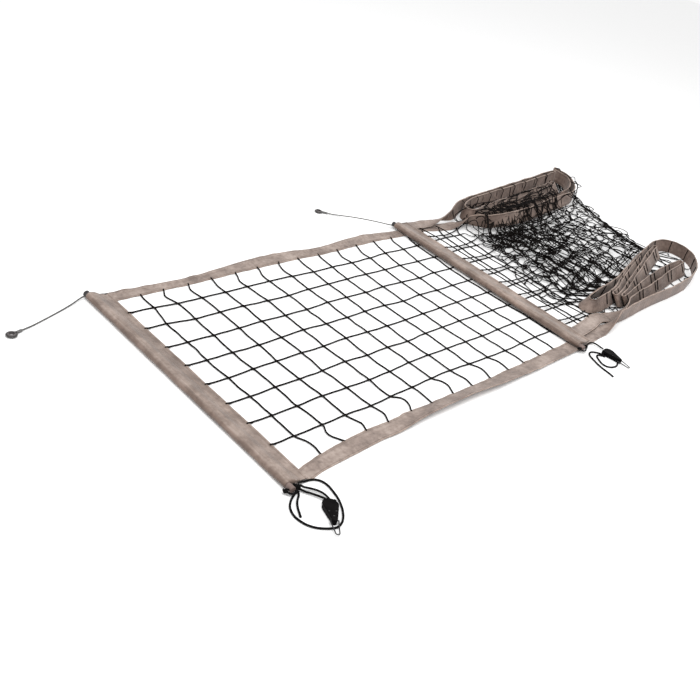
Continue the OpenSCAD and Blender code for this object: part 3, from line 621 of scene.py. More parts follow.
kl = knot_piece("left_knot_tied", [-41, -64, 10], (9.5, 8.0), (1, -0.3, 0), 5.4, 3, LEFT, "left_knot", M_CORD)
kr = knot_piece("right_knot_tied", [1420, -48, 16.5], (6.5, 7.2), (1, 0.1, 0), 5.0, 4, RIGHT, "right_knot", M_CORD)
ksl = knot_piece("left_stopper_tied", [-79, -62, 11], (6, 6.2), (1, 0, 0), 4.8, 5, LEFT, "left_stopper_knot", M_CORD)
ksr = knot_piece("right_stopper_tied", [1381, -45, 16.5], (6, 6.2), (1, 0, 0), 4.8, 6, RIGHT, "right_stopper_knot", M_CORD)

free_cord("left_cord_strand_a", left_cord_a, CORD_D, LEFT, M_CORD, 21, replaces=("left_cord",))
free_cord("left_cord_strand_b", left_cord_b, CORD_D, LEFT, M_CORD, 22)
free_cord("left_cord_loop", left_cord_loop, CORD_D, LEFT, M_CORD, 23)
free_cord("left_cord_tail", left_cord_tail, CORD_D, LEFT, M_CORD, 24)
free_cord("right_cord_in", right_cord_in, CORD_D, RIGHT, M_CORD, 25, replaces=("right_cord",))
free_cord("right_cord_tail", right_cord_tail, CORD_D, RIGHT, M_CORD, 26)
free_cord("right_cord_loop", right_cord_loop, CORD_D, RIGHT, M_CORD, 27)


def lp(x, y, z=0.0):
    a = math.radians(1.1)
    x, y = np.asarray(x, float), np.asarray(y, float)
    return np.stack([-59 + x * math.cos(a) + y * math.sin(a), -x * math.sin(a) + y * math.cos(a), z + 0 * (x + y)], -1)


def rp(x, y, z=0.0):
    a = math.radians(2.0)
    x, y = np.asarray(x, float), np.asarray(y, float)
    return np.stack([1402 + x * math.cos(a) + y * math.sin(a), 18 - x * math.sin(a) + y * math.cos(a), z + 5.5 + 0 * (x + y)], -1)


# the short stretches through the pole caps' cross holes, and the strand that turns round each cap's end
for nm, f, body, z0 in (("left_cord_cross", lp, LEFT, 0.0), ("right_cord_cross", rp, RIGHT, 0.0)):
    sp = Soup()
    sp.tube(f(np.linspace(-15, 17, 12), np.full(12, -63.0), 11.0), 3.0, 10)
    wrap = smooth([f(18, -66, 9), f(15, -72, 5.5), f(6, -76, 4), f(-4, -76.5, 5), f(-13, -73, 7.5), f(-18, -66, 10)], 5)
    sp.tube(wrap, 2.7, 10)
    o = paint(sp.make(nm), M_CORD)
    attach(o, body)

# ---------------------------------------------------------------- tapes: one band each, flat, on edge through the folds, and flat again
TAPE_W = 60.0
RING_W = np.array([0.0, 0.5, 2.5, 4.8, 5.5, 6.2, 8.6, 9.4, 10.2, 17, 25, 33, 40, 43, 46, 49, 51.5, 53.6, 54.4, 55.2, 57.5, 59.5, 60.0])
NW = len(RING_W)
NV = 2 * NW - 2


def both(a, sign=1.0):
    """A value per width mark, to one per point of the closed section."""
    return np.concatenate([a, sign * a[::-1][1:-1]])


def half_heights(t, bulge):
    h = np.full(NW, t / 2)
    h[[0, -1]] = 0.12
    h[[1, -2]] = t / 2 * 0.8
    h[[4, 7, 18]] = t / 2 - 0.5
    for k, x in enumerate(RING_W):
        if bulge and 39 < x < 53:
            h[k] = max(h[k], t / 2 + (bulge - t) / 2 * max(0.0, math.cos((x - 46) / 6.5 * math.pi / 2)) ** 0.8)
    return h


def ridges(s, w, seed, n, lo, hi, slant):
    """Slanting creases: a sum of waves along the band, each strongest in its own part of the width."""
    r = rng(seed)
    A = np.zeros((len(s), len(w)))
    for k in range(n):
        lam = r.uniform(lo, hi)
        gate = 0.5 + 0.5 * np.sin(2 * math.pi * s / r.uniform(160, 420) + r.uniform(0, 6))
        part = 0.35 + 0.65 * (np.abs(w - r.choice([0.0, 60.0])) / 60.0)
        A += r.uniform(0.4, 1.0) * gate[:, None] * part[None, :] * np.sin(
            2 * math.pi * (s[:, None] + r.uniform(-slant, slant) * w[None, :]) / lam + r.uniform(0, 6))
    return A / math.sqrt(n)


def stitch_rows(sp, line, nrm, every=5.0, length=3.4, r=0.36, start=3.0):
    """Thread stitches along a line, lying on the cloth."""
    s = arc(line)
    t = np.arange(start, s[-1] - length - 1, every)
    if len(t) < 1:
        return
    at = lambda q, a: np.stack([np.interp(q, s, a[:, k]) for k in range(3)], 1)
    a, b, n = at(t, line), at(t + length, line), unit(at(t + length / 2, nrm))
    d = unit(b - a)
    q = np.cross(d, n)
    rings = []
    for f, k, up in ((0.0, 0.3, -0.25), (0.28, 1.0, 0.22), (0.72, 1.0, 0.22), (1.0, 0.3, -0.25)):
        c = a + f * (b - a) + up * n
        rings.append(np.stack([c + q * r * k, c + n * r * k, c - q * r * k, c - n * r * k * 0.5], 1))
    R = np.stack(rings, 1)  # stitches, 4 rings, 4 points
    m_ = len(t)
    base = sp.n + (np.arange(m_) * 16)[:, None, None]
    sp.v.append(R.reshape(-1, 3))
    sp.n += m_ * 16
    i, j = np.meshgrid(np.arange(3), np.arange(4), indexing="ij")
    j1 = (j + 1) % 4
    quad = np.stack([i * 4 + j, i * 4 + j1, (i + 1) * 4 + j1, (i + 1) * 4 + j], -1).reshape(1, 12, 4)
    sp.f.append((base + quad).reshape(-1, 4))
    u0 = (t / 1000.0)[:, None, None]
    uv = np.stack([i * 0.0011, j * 0.0006, i * 0.0011, (j + 1) * 0.0006, (i + 1) * 0.0011, (j + 1) * 0.0006, (i + 1) * 0.0011, j * 0.0006], -1).reshape(12, 4, 2)
    sp.uv.append((uv[None] + np.stack([u0, 0 * u0], -1).reshape(m_, 1, 1, 2)).reshape(-1, 2))


top_outer = [[12, 939], [93, 934], [224, 929], [343, 924], [445, 934], [575, 950], [716, 957], [831, 951], [945, 929], [1012, 936],
             [1153, 953], [1292, 948], [1426, 926], [1550, 940], [1680, 912], [1796, 884]]
top_inner = [[12, 885], [300, 883], [600, 889], [850, 887], [1000, 884], [1250, 889], [1426, 882], [1550, 882], [1680, 853], [1796, 824]]
bot_inner = [[6, -16], [18, -11], [57, 1], [114, 8], [209, 16], [302, 21], [393, 16], [498, 19], [595, 14], [701, 14], [797, 11], [898, 9], [1005, 13],
             [1094, 11], [1202, 15], [1295, 15], [1391, 17], [1500, 26], [1560, 31]]
bot_width = [[6, 42], [57, 52], [114, 56], [209, 60], [1600, 60]]
# how far the tape's outer edge stands up, in degrees
bot_tilt = [[0, 0], [300, 2], [442, 9], [560, 25], [631, 26], [706, 25.5], [820, 24.5], [934, 17], [1005, 12], [1088, 9.5], [1253, 8], [1350, 9], [1390, 4], [1500, 3], [1560, 0]]
bot_outer = [[x, y - float(np.interp(x, *zip(*bot_width))) * math.cos(math.radians(float(np.interp(x, *zip(*bot_tilt)))))] for x, y in bot_inner]
top_route = [[1800, 850], [1822, 822], [1880, 778], [1980, 754], [2200, 758], [2450, 787], [2640, 812], [2740, 868], [2815, 955], [2850, 1040],
             [2858, 1062], [2848, 1072], [2832, 1062], [2798, 962], [2724, 888], [2640, 836], [2450, 806], [2200, 777], [2010, 772], [1992, 776], [1988, 784],
             [1996, 791], [2200, 795], [2450, 824], [2470, 827], [2496, 834], [2500, 842], [2492, 848], [2468, 846], [2450, 843], [2200, 814], [2140, 811],
             [2122, 814], [2118, 822], [2126, 829], [2200, 833], [2450, 862], [2664, 892], [2692, 901], [2698, 910], [2690, 917], [2662, 913], [2450, 882],
             [2200, 853], [2000, 838], [1884, 833], [1828, 846], [1810, 873], [1828, 904], [1930, 930], [2200, 958], [2450, 982], [2690, 1012], [2750, 1022],
             [2798, 1026], [2806, 1033], [2797, 1041], [2756, 1040], [2690, 1032], [2450, 1002], [2200, 978], [1960, 954], [1860, 939], [1780, 924], [1680, 914]]
# how the folded top tape leans: at each place, the way its upper edge goes sideways per unit of width, and a shift of the whole leg
top_fall = [[1830, 815, 0, 0, 0], [1960, 757, 0.04, 0.36, 0], [2200, 758, -0.05, 0.50, 0], [2540, 799, -0.05, 0.5, 0], [2690, 840, 0.10, 0.12, 0], [2815, 955, 0.18, -0.05, 0],
            [2858, 1062, 0.12, 0.08, 0], [2798, 962, 0.18, -0.05, 0], [2700, 872, 0.10, 0.14, 0], [2560, 824, -0.06, 0.62, 0], [2450, 806, -0.09, 0.78, 0], [1988, 784, -0.02, 0.74, 2],
            [2200, 795, -0.08, 0.78, 4], [2500, 842, -0.09, 0.78, 6], [2200, 814, -0.08, 0.78, 8], [2118, 822, -0.05, 0.76, 11], [2200, 833, -0.08, 0.78, 13], [2698, 910, -0.08, 0.70, 14],
            [2450, 882, -0.09, 0.78, 21], [2200, 853, -0.08, 0.78, 21], [2000, 838, -0.02, 0.70, 16], [1884, 833, 0.20, 0.45, 4], [1810, 873, 0.38, 0.05, 0], [1850, 912, 0.14, 0.08, 0],
            [1960, 934, 0.0, 0.20, 0], [2450, 982, -0.03, 0.22, 0], [2806, 1033, 0.05, 0.12, 0], [2450, 1002, -0.03, 0.20, 0], [1960, 954, 0.0, 0.14, 0], [1880, 943, 0, 0.2, -4], [1815, 931, 0, 0.30, -12], [1765, 921, -0.05, 0.40, -36],
            [1700, 915, 0, 0.34, -34], [1640, 917, 0, 0, 0]]
bot_fall = [[1720, 2, 0, 0, 0], [2400, 22, 0, 0.05, 0], [2660, 114, 0.14, 0, 0], [2738, 240, 0.22, 0.05, 0], [2660, 300, 0.05, 0.26, 0], [2460, 264, -0.12, 0.40, 0],
            [2170, 194, -0.14, 0.44, 0], [2030, 166, -0.05, 0.32, 0], [1900, 163, 0.10, -0.05, 0], [1780, 174, 0.30, -0.30, 0], [1714, 164, 0.66, -0.38, 0], [1688, 132, 0.88, 0, 0],
            [1700, 102, 0.70, 0.36, 0], [1750, 90, 0.15, 0.52, 0], [1850, 97, -0.12, 0.46, 0], [2100, 160, -0.16, 0.55, 0], [2398, 234, -0.17, 0.60, 0], [2230, 184, -0.17, 0.60, 0],
            [1882, 77, -0.10, 0.60, 0], [2100, 120, -0.16, 0.60, 0], [2600, 266, -0.17, 0.60, 0], [2440, 206, -0.17, 0.60, 0], [2100, 103, -0.16, 0.60, 0], [1911, 46, -0.10, 0.60, 0],
            [2140, 82, -0.10, 0.58, 0], [2574, 112, 0.02, 0.54, 0], [2420, 86, -0.05, 0.52, 0], [2140, 50, -0.08, 0.46, 0], [1900, 33, 0, 0.34, 0], [1740, 42, 0, 0.08, 0], [1690, 57, 0, 0, 0]]
bottom_route = [[1604, 4], [1700, 2], [1800, 4], [2000, 14], [2200, 12], [2400, 22], [2560, 60], [2660, 114], [2722, 180], [2738, 240], [2716, 282],
                [2660, 300], [2590, 294], [2460, 264], [2314, 228], [2170, 194], [2030, 166], [1900, 163], [1780, 174], [1714, 164], [1688, 132], [1700, 102],
                [1750, 90], [1850, 97], [1960, 116], [2100, 160], [2230, 199], [2370, 236], [2392, 241], [2398, 234], [2388, 227], [2340, 215], [2230, 184],
                [2100, 146], [1980, 106], [1900, 84], [1882, 77], [1886, 68], [1904, 68], [1980, 83], [2100, 120], [2280, 174], [2440, 224], [2570, 260],
                [2600, 266], [2610, 258], [2600, 250], [2560, 240], [2440, 206], [2280, 158], [2100, 103], [2000, 74], [1930, 58], [1913, 53], [1911, 46],
                [1926, 44], [2000, 56], [2140, 82], [2280, 104], [2420, 118], [2550, 120], [2574, 112], [2574, 101], [2550, 96], [2420, 86], [2280, 68],
                [2140, 50], [2000, 38], [1900, 33], [1820, 33], [1740, 42], [1680, 60]]


def at_x(pts, x):
    p = np.array(pts, float)
    return np.interp(x, p[:, 0], p[:, 1])


class Band:
    """One tape from the first sleeve through the folds to the second sleeve."""

    def __init__(self, inner, outer, x_flat, route, back, side, up, lip, t, bulge, seed, rolls, lows, tilt=None, fall=None, rough=1.0):
        x = np.concatenate([np.arange(inner[0][0], x_flat, 62.0), [x_flat]])
        yi, yo = at_x(inner, x), at_x(outer, x)
        pts = np.concatenate([np.stack([x, (yi + yo) / 2], 1), np.array(route, float), np.array(back, float)])
        C = resample(smooth(np.c_[pts, np.zeros(len(pts))], 6), 7.0)[:, :2]
        s = arc(C)
        self.s, self.C, self.seed = s, C, seed
        n = len(s)
        n_flat = int(np.argmax(C[:, 0] > x_flat))
        s_flat = s[n_flat]
        width = np.full(n, 60.0)
        tl = np.zeros(n) if tilt is None else np.where(s < s_flat, np.radians(at_x(tilt, C[:, 0])), 0.0)
        tl = blur(tl, 4)
        wf = (at_x(outer, C[:, 0]) - at_x(inner, C[:, 0])) / np.cos(tl)
        width = np.where(s < s_flat, np.abs(blur(wf, 4)), 60.0)
        width = blur(width, 8)
        T = unit(np.gradient(blur(C, 1), axis=0))
        R = side * np.stack([-T[:, 1], T[:, 0], 0 * s], 1)
        roll = math.pi / 2 * (ease(s, s_flat + rolls[0], s_flat + rolls[1]) + ease(s, s[-1] - rolls[2], s[-1] - rolls[3]))
        q = np.sin(roll) ** 2
        self.q = q
        lean = roll + tl + q * wavy(s, seed + 2, 380, 0.06 if fall else 0.10)
        # the way up along the folded cloth
        E = np.tile([0, 0, 1.0], (n, 1))
        if fall:
            at, k0 = [], int(np.argmax(C[:, 0] > fall[0][0] - 60))
            for fx, fy, *_ in fall:
                d = np.hypot(C[k0:, 0] - fx, C[k0:, 1] - fy)
                k0 += int(np.argmax(d < d[:int(600 / 7)].min() + 1e-9))
                at.append(s[k0])
            H = np.stack([blur(np.interp(s, at, [f[k] for f in fall]), 6) for k in (2, 3, 4)], 1)
            E[:, :2] = H[:, :2]
            E[:, 2] = np.sqrt(1 - (H[:, :2] ** 2).sum(1))
            C = C + (q * 30)[:, None] * H[:, :2] + (q * H[:, 2])[:, None] * [0, 1.0]
            self.C = C
        W = np.cos(lean)[:, None] * R + (float(up) * np.sin(lean))[:, None] * E
        T3 = np.c_[T, 0 * s]
        Nn = unit(np.cross(T3, W))
        # how high the lower edge is
        low = np.interp(s, [s_flat + lows[0], s_flat + lows[0] + 260], [0, lows[1]])
        low = np.where(s > s[-1] - lows[2], np.interp(s, [s[-1] - lows[2], s[-1] - lows[3], s[-1] - 90, s[-1]], [lows[1], lows[4], lows[4], 17.5]), low)
        low = blur(low, 5)
        zc = low + width / 2 * np.abs(W[:, 2]) + t / 2 * np.abs(np.cos(lean)) + q * np.abs(wavy(s, seed + 3, 430, 2.6)) + q * np.maximum(0, wavy(s, seed + 4, 110, 1.6))
        w1 = RING_W.copy()
        w2 = RING_W.copy()
        h1 = half_heights(t, bulge)
        h2 = np.maximum(1.5, half_heights(3.0, bulge))
        h2[[0, -1]] = 0.3
        if lip == 60:
            w2[-4:] = [54.8, 58.6, 60.0, 56.5]
            h2[-4:] = [2.2, 2.9, 1.9, 0.5]
        else:
            w2[:4] = [3.5, 0.0, 1.4, 5.2]
            h2[:4] = [0.5, 1.9, 2.9, 2.2]
        qq = q[:, None]
        w = (1 - qq) * both(w1)[None] + qq * both(w2)[None]
        h = (1 - qq) * both(h1, -1)[None] + qq * both(h2, -1)[None]
        wr = both(RING_W)
        A = 0.42 * ridges(s, wr, seed + 10, 9, 22, 120, 0.9)
        B = 1.3 * ridges(s, wr, seed + 20, 5, 90, 260, 0.5) + 0.55 * ridges(s, wr, seed + 30, 8, 13, 34, 0.25)
        off = (1 - qq) * A * (1.6 if tilt else 1.0) + qq * B * rough
        scale = (width / TAPE_W)[:, None]
        P = (np.c_[C, zc])[:, None] + ((w - 30) * scale)[..., None] * W[:, None] + (h + off)[..., None] * Nn[:, None]
        # hems of the flat parts stand up a little here and there
        e1 = np.clip((wr - 30) / 30, 0, 1) ** 2
        e2 = np.clip((30 - wr) / 30, 0, 1) ** 2
        P[..., 2] += (1 - qq) * (np.maximum(0, wavy(s, seed + 7, 160, 3.0))[:, None] * e1[None] + np.maximum(0, wavy(s, seed + 9, 130, 2.4))[:, None] * e2[None])
        P[..., 1] += (1 - qq) * wavy(s, seed + 8, 90, 1.2)[:, None] * e2[None]
        P[..., 2] = np.maximum(P[..., 2], 0.1)
        self.P, self.N, self.W, self.width = P, Nn, W, width
        # where the returned part begins
        k = n - 1
        while C[k, 0] < 1728:
            k -= 1
        self.k = k

    def piece(self, name, a, b, nd):
        sp = Soup()
        sp.grid(self.P[a:b], close_v=True, caps=True, U=self.s[a:b] / 1000.0, V=np.concatenate([both(RING_W), [0]]) / 1000.0)
        o = paint(sp.make(name), M_BAND)
        for x in nd:
            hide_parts(x)
        return o, float(self.s[b - 1] - self.s[a]) / 1000.0

    def threads(self, name, a, b, col_sides, every=5.0):
        sp = Soup()
        for col, sgn in col_sides:
            idx = col if sgn > 0 else NV - col
            stitch_rows(sp, self.P[a:b, idx], sgn * self.N[a:b], every=every)
        return paint(sp.make(name), M_STITCH)

    def core(self, name, a, b, r, lead=(), trail=()):
        c = 0.5 * (self.P[a:b, 14] + self.P[a:b, NV - 14])
        pts = np.concatenate([np.array(lead, float).reshape(-1, 3), c, np.array(trail, float).reshape(-1, 3)])
        sp = Soup()
        sp.tube(pts, r, 8)
        return paint(sp.make(name), M_CABLE)


top = Band(top_inner, top_outer, 1735, top_route, [[1600, 921], [1520, 925], [1466, 927]], 1, -1, 0, 2.6, 5.0, 31, (-40, 150, 330, 130), (-60, 21, 330, 200, 9), fall=top_fall, rough=1.8)
bot = Band(bot_inner, bot_outer, 1560, bottom_route[1:], [[1600, 47], [1520, 36], [1466, 29]], -1, 1, 60, 2.6, 0.0, 41, (30, 210, 480, 260), (-60, 3.0, 470, 330, 9), tilt=bot_tilt, fall=bot_fall, rough=2.3)

for bd, nm, nds, nde in ((top, "top_tape", ("top_tape", "top_tape_folds"), "end_top_tape"), (bot, "bottom_tape", ("bottom_tape", "bottom_tape_folds"), "end_bottom_tape")):
    n = len(bd.s)
    main, L1 = bd.piece(nm + "_band", 0, bd.k + 1, nds)
    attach(main, MAIN)
    back, L2 = bd.piece(nm + "_band_returned", bd.k, n, (nde,))
    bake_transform(back)
    nf = int(np.argmax(bd.C[:, 0] > 1690))
    t1 = bd.threads(nm + "_stitches", 0, nf, ((4, 1), (7, 1), (18, 1)))
    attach(t1, MAIN)
    lipcol = 18 if bd is bot else 4
    t2 = bd.threads(nm + "_fold_stitches", nf, bd.k, ((lipcol, 1), (lipcol, -1)), every=7.0)
    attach(t2, MAIN)
    t3 = bd.threads(nm + "_returned_stitches", bd.k, n, ((4, -1), (7, -1), (18, -1)))
    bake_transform(t3)

c1 = top.core("cable_in_tape", 0, top.k + 1, 1.7, lead=[lp(-9, 934, 10.9), lp(20, 934, 8.8), lp(52, 934, 5.0), lp(66, 933, 3.4)])
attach(c1, MAIN)
for x in ("tension_cable", "tension_cable_folds"):
    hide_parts(x)
c2 = top.core("cable_in_returned_tape", top.k, len(top.s), 1.7, trail=[rp(52, 934, 14.0), rp(20, 934, 11.6), rp(-9, 934, 11.0)])
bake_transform(c2)
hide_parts("end_cable")

# ---------------------------------------------------------------- side sleeves
SEC_TOP = [(-3, 19.6), (1, 21.6), (6, 22.3), (12, 21.9), (18, 20.0), (24, 17.0), (30, 13.6), (35, 10.9), (40, 8.7), (44, 7.2), (48, 6.0), (51, 5.3), (54, 4.7), (56.5, 4.3),
           (58.5, 4.1), (60.5, 3.9), (62, 3.8), (63.5, 3.7), (64.5, 3.2), (65.5, 3.7), (68, 4.3), (71, 4.3), (73, 3.6), (74, 2.4)]
SEC_BOT = [(73.6, 1.0), (71, 0.5), (60, 0.4), (45, 0.4), (30, 0.4), (16, 0.5), (6, 0.8), (0, 3.0), (-4, 9)]


def sleeve_cloth(name, f, up, body, nd, seed):
    y = np.linspace(-48, 934, 142)
    ring = np.array(SEC_TOP + SEC_BOT, float)
    nr = len(ring)
    upper = np.array([1.0] * len(SEC_TOP) + [0.25] * len(SEC_BOT))
    x, z = ring[:, 0], ring[:, 1]
    r = rng(seed)
    A = np.zeros((len(y), nr))
    for k in range(12):
        lam = r.uniform(70, 420)
        across = r.uniform(9, 30)
        A += r.uniform(0.3, 1) * np.sin(2 * math.pi * (y[:, None] / lam + x[None] / across) + r.uniform(0, 6)) / 3.0
    for k in range(8):
        c0, wd = r.uniform(-20, 930), r.uniform(10, 34)
        sl = r.uniform(-0.8, 0.8)
        A += r.uniform(-1, 1) * 0.9 * np.exp(-((y[:, None] - c0 - sl * x[None]) / wd) ** 2)
    gate = np.clip((x - 8) / 10, 0, 1) * np.clip((75 - x) / 6, 0.25, 1)
    Z = z[None] + 0.62 * A * (upper * gate)[None] + up * np.clip(x / 74.0, 0, 1)[None]
    X = x[None] + (0.9 * wavy(y, seed + 3, 210, 1.0))[:, None] * np.clip((x - 60) / 14, 0, 1)[None] + 0 * y[:, None]
    Y = np.repeat(y[:, None], nr, 1) + ((np.abs(y[:, None] - 446) > 490) * 0.0)
    Z = np.maximum(Z, 0.15 + up * np.clip(x / 74.0, 0, 1)[None])
    P = f(X, Y, Z)
    sp = Soup()
    V = np.concatenate([[0], np.cumsum(np.hypot(np.diff(x), np.diff(z)))])
    sp.grid(P, close_v=True, caps=True, U=y / 1000.0, V=np.concatenate([V, [V[-1] + 9]]) / 1000.0)
    # the pole pocket: a cloth tube with its own thickness, turned in at both ends
    th = np.linspace(0, 2 * math.pi, 28, endpoint=False)
    yo = np.linspace(-48, 930, 110)
    loops = np.concatenate([np.stack([yo, 11.2 + 0.35 * np.sin(yo / 31.0 + seed) * np.cos(yo / 13.0)], 1),
                            np.stack([[930.4, 930.4], [10.8, 10.2]], 1), np.stack([yo[::-1][::3], np.full(len(yo[::3]), 9.75)], 1), np.stack([[-48.4, -48.4], [10.2, 10.8]], 1)])
    wr = 0.30 * np.sin(th[None] * 3 + loops[:, :1] / 47.0) + 0.22 * np.sin(th[None] * 5 - loops[:, :1] / 21.0 + 1)
    rad = loops[:, 1:2] + np.where(loops[:, 1:2] > 10.9, wr, 0)
    X, Zc = rad * np.sin(th)[None], 11.0 + rad * np.cos(th)[None]
    sp.grid(f(X, np.repeat(loops[:, :1], 28, 1), np.maximum(Zc, 0.12)), close_u=True, close_v=True, U=np.concatenate([yo, [930, 930], yo[::-1][::3], [-48, -48]]) / 1000.0,
            V=np.linspace(0, 0.07, 29))
    o = paint(sp.make(name), M_SLEEVE)
    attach(o, body)
    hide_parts(nd)
    st = Soup()
    for col in (18,):
        line = P[:, col]
        stitch_rows(st, line, np.tile([0, 0, 1.0], (len(line), 1)), every=5.0)
    # the end hems
    for yy in (-41.0, 927.0):
        k = int(np.argmin(np.abs(y - yy)))
        line = P[k, 9:22].copy()
        stitch_rows(st, line, np.tile([0, 0, 1.0], (len(line), 1)), every=5.0)
    so = paint(st.make(name + "_stitches"), M_STITCH)
    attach(so, body)
    return o


sleeve_cloth("left_sleeve_cloth", lp, 0.0, MAIN, "left_sleeve", 71)
sleeve_cloth("right_sleeve_cloth", rp, 12.0, END, "right_sleeve", 72)

# ---------------------------------------------------------------- flat mesh
NI, NJ = 17, 8
Rt, Rp = 2.6, 2.0


def knot_xy(i, j):
    """Where crossing (i along the net, j from the top tape) lies."""
    r = rng(100 + i * 13 + j)
    bow = math.sin(math.pi * (j - 0.2) / 9)
    dx = 3 - 9 * bow + (9 * math.exp(-((j - 1) ** 2) / 0.8) * min(1, max(0, (i - 6) / 7)) if j < 3 else 0) + (5 if i == 1 and j < 4 else 0)
    dy = -2 - 2.5 * math.sin(i * 0.9 + j * 1.3) + (9 if i == 1 and j < 3 else 0)
    if j == 1 and i <= 13:
        return np.array([100.0 * i + top_knots[i - 1][0], 800.0 + top_knots[i - 1][1]])
    return np.array([100.0 * i + dx + r.uniform(-4, 4), 100.0 * (9 - j) + dy + r.uniform(-4, 4)])


# first knots under the top tape, from the even grid, and the way each vertical cord runs from the tape to its knot
top_knots = [[16, 5], [3, -4], [0, -4], [-2, -4], [-6, -4], [-4, -3], [3, -7], [4, -11], [4, -10], [7, -12], [13, -11], [12, -4], [19, -7]]
top_hooks = [[[121, 888], [115, 838]], [[210, 889], [202, 872], [192, 855], [190, 834]], [[310, 889], [301, 872], [294, 854], [294, 833]], [[408, 892], [402, 862], [396, 835]],
             [[516, 892], [506, 868], [493, 843], [489, 821]], [[618, 894], [611, 870], [600, 848], [597, 828]], [[724, 896], [708, 872], [698, 848], [697, 826]],
             [[817, 893], [808, 838]], [[921, 891], [908, 832]], [[1026, 892], [1005, 836]], [[1137, 893], [1116, 840]], [[1239, 893], [1223, 842]], [[1347, 893], [1326, 845]],
             [[1443, 890], [1420, 843]], [[1548, 889], [1522, 845]], [[1650, 878], [1622, 840]], [[1752, 858], [1722, 824]]]
# the way it runs from its last knot to the bottom tape
low_hooks = [[[111, 62], [113, 34], [110, 6]], [[190, 68], [189, 50], [198, 34], [211, 12]], [[306, 66], [313, 46], [302, 15]], [[409, 76], [411, 50], [403, 30], [392, 10]],
             [[518, 80], [524, 62], [515, 38], [499, 12]], [[602, 66], [600, 40], [595, 8]], [[719, 78], [722, 50], [712, 30], [701, 8]], [[806, 66], [808, 40], [800, 6]],
             [[913, 66], [909, 40], [898, 4]], [[1010, 66], [1012, 40], [1006, 7]], [[1105, 66], [1107, 40], [1100, 6]], [[1206, 68], [1208, 42], [1203, 8]],
             [[1302, 68], [1304, 42], [1297, 9]], [[1404, 68], [1408, 42], [1400, 10]], [[1508, 70], [1512, 50], [1506, 22]], [[1608, 70], [1614, 50], [1612, 28]], [[1700, 70], [1706, 40], [1700, 5]]]
mesh = Soup()
grid_pts = {}
for i in range(1, NI + 1):
    for j in range(1, NJ + 1):
        grid_pts[i, j] = knot_xy(i, j)
for j in range(1, NJ + 1):
    grid_pts[0, j] = np.array([13 + 19 * (900 - 100 * j) / 950, grid_pts[1, j][1] + 2])


def cord_line(pts, seed, amp=1.0, up=1.0):
    c = resample(smooth(pts, 6), 12.0)
    s = arc(c)
    env = np.minimum(1, np.minimum(s, s[-1] - s) / 40)
    c[:, 0] += wavy(s, seed, 140, amp) * env
    c[:, 1] += wavy(s, seed + 1, 140, amp) * env
    c[:, 2] += np.maximum(0, wavy(s, seed + 2, 260, up)) * env
    return c


for i in range(1, NI + 1):
    # vertical cords run from tape to tape
    pts = [[x, y, 3.0] for x, y in top_hooks[i - 1]]
    pts += [[*grid_pts[i, j], 3.0 + 0.25 * (-1) ** (i + j)] for j in range(1, NJ + 1)]
    pts += [[x, y, 2.9] for x, y in low_hooks[i - 1]]
    mesh.tube(cord_line(pts, 300 + i * 5, 2.2), Rt, 8)
for j in range(1, NJ + 1):
    pts = [[*grid_pts[i, j], 3.0 - 0.25 * (-1) ** (i + j)] for i in range(0, NI + 1)]
    pts[0][2] = 3.2
    mesh.tube(cord_line(pts, 500 + j * 5, 1.1), Rt, 8)
for i in range(1, NI + 1):
    for j in range(1, NJ + 1):
        p = grid_pts[i, j]
        rr = rng(900 + i * 9 + j)
        mesh.blob([p[0], p[1], 3.4], (5.4, 4.6, 3.3), (1, rr.uniform(-1, 1), 0), 900 + i * 9 + j, 0.15)
# small loops round the sleeve's inner edge where the level cords are tied on
for j in range(1, NJ + 1):
    p = grid_pts[0, j]
    mesh.tube(smooth([[p[0] + 9, p[1] - 1, 3.0], [p[0] + 3, p[1] - 1, 5.6], [p[0] - 3, p[1], 6.2], [p[0] - 7, p[1] + 1, 4.4]], 4), Rt * 0.9, 6)
    mesh.blob([p[0] + 9, p[1] - 1, 3.4], (5.4, 4.4, 3.2), (1, 0, 0), 40 + j, 0.15)
flat_mesh = paint(mesh.make("net_mesh_flat"), M_TWINE)
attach(flat_mesh, MAIN)
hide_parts("main_mesh")

# ---------------------------------------------------------------- the mesh in the pile: cords let fall between the two folded tapes
CUM = [0, 12, 22, 29, 34, 41, 48, 56, 65]
NEAR_S = [1750, 2870, 3960, 4690, 5230, 6010, 6770, 7470, 8280]
near_line, far_line = (smooth(np.c_[np.array(p, float), np.zeros(len(p))], 4)[:, :2] for p in (bottom_route, top_route))
FAR_S, k_ = [0.0], 0
for x, y in ((2858, 1062), (1988, 784), (2500, 842), (2118, 822), (2698, 910), (1810, 873), (2806, 1033)):
    k_ += int(np.argmin(np.hypot(far_line[k_:, 0] - x, far_line[k_:, 1] - y)))
    FAR_S.append(float(arc(far_line)[k_]))
FAR_S.append(float(arc(far_line)[-1]) - 77)
K_TOP = int(np.argmin(np.hypot(top.C[:, 0] - 1800, top.C[:, 1] - 850)))
K_BOT = int(np.argmin(np.hypot(bot.C[:, 0] - 1700, bot.C[:, 1] - 2)))
NC, NP = 66, 36


def on_wall(c, w, off=2.6):
    """Places on the inner face of the folded bottom tape beside column c, at heights w along the cloth."""
    s = bot.s[K_BOT] - 96 + float(np.interp(c, CUM, NEAR_S)) - 1604
    k = int(np.argmin(np.abs(bot.s - s)))
    back = bot.P[k, [0, *range(NV - 1, NW - 1, -1), NW - 1]]
    line = np.stack([np.interp(w, RING_W, back[:, j]) for j in range(3)], -1)
    return line - off * bot.N[k], -bot.N[k]


def along(line, s):
    q = arc(line)
    return np.stack([np.interp(s, q, line[:, k]) for k in (0, 1)], -1)


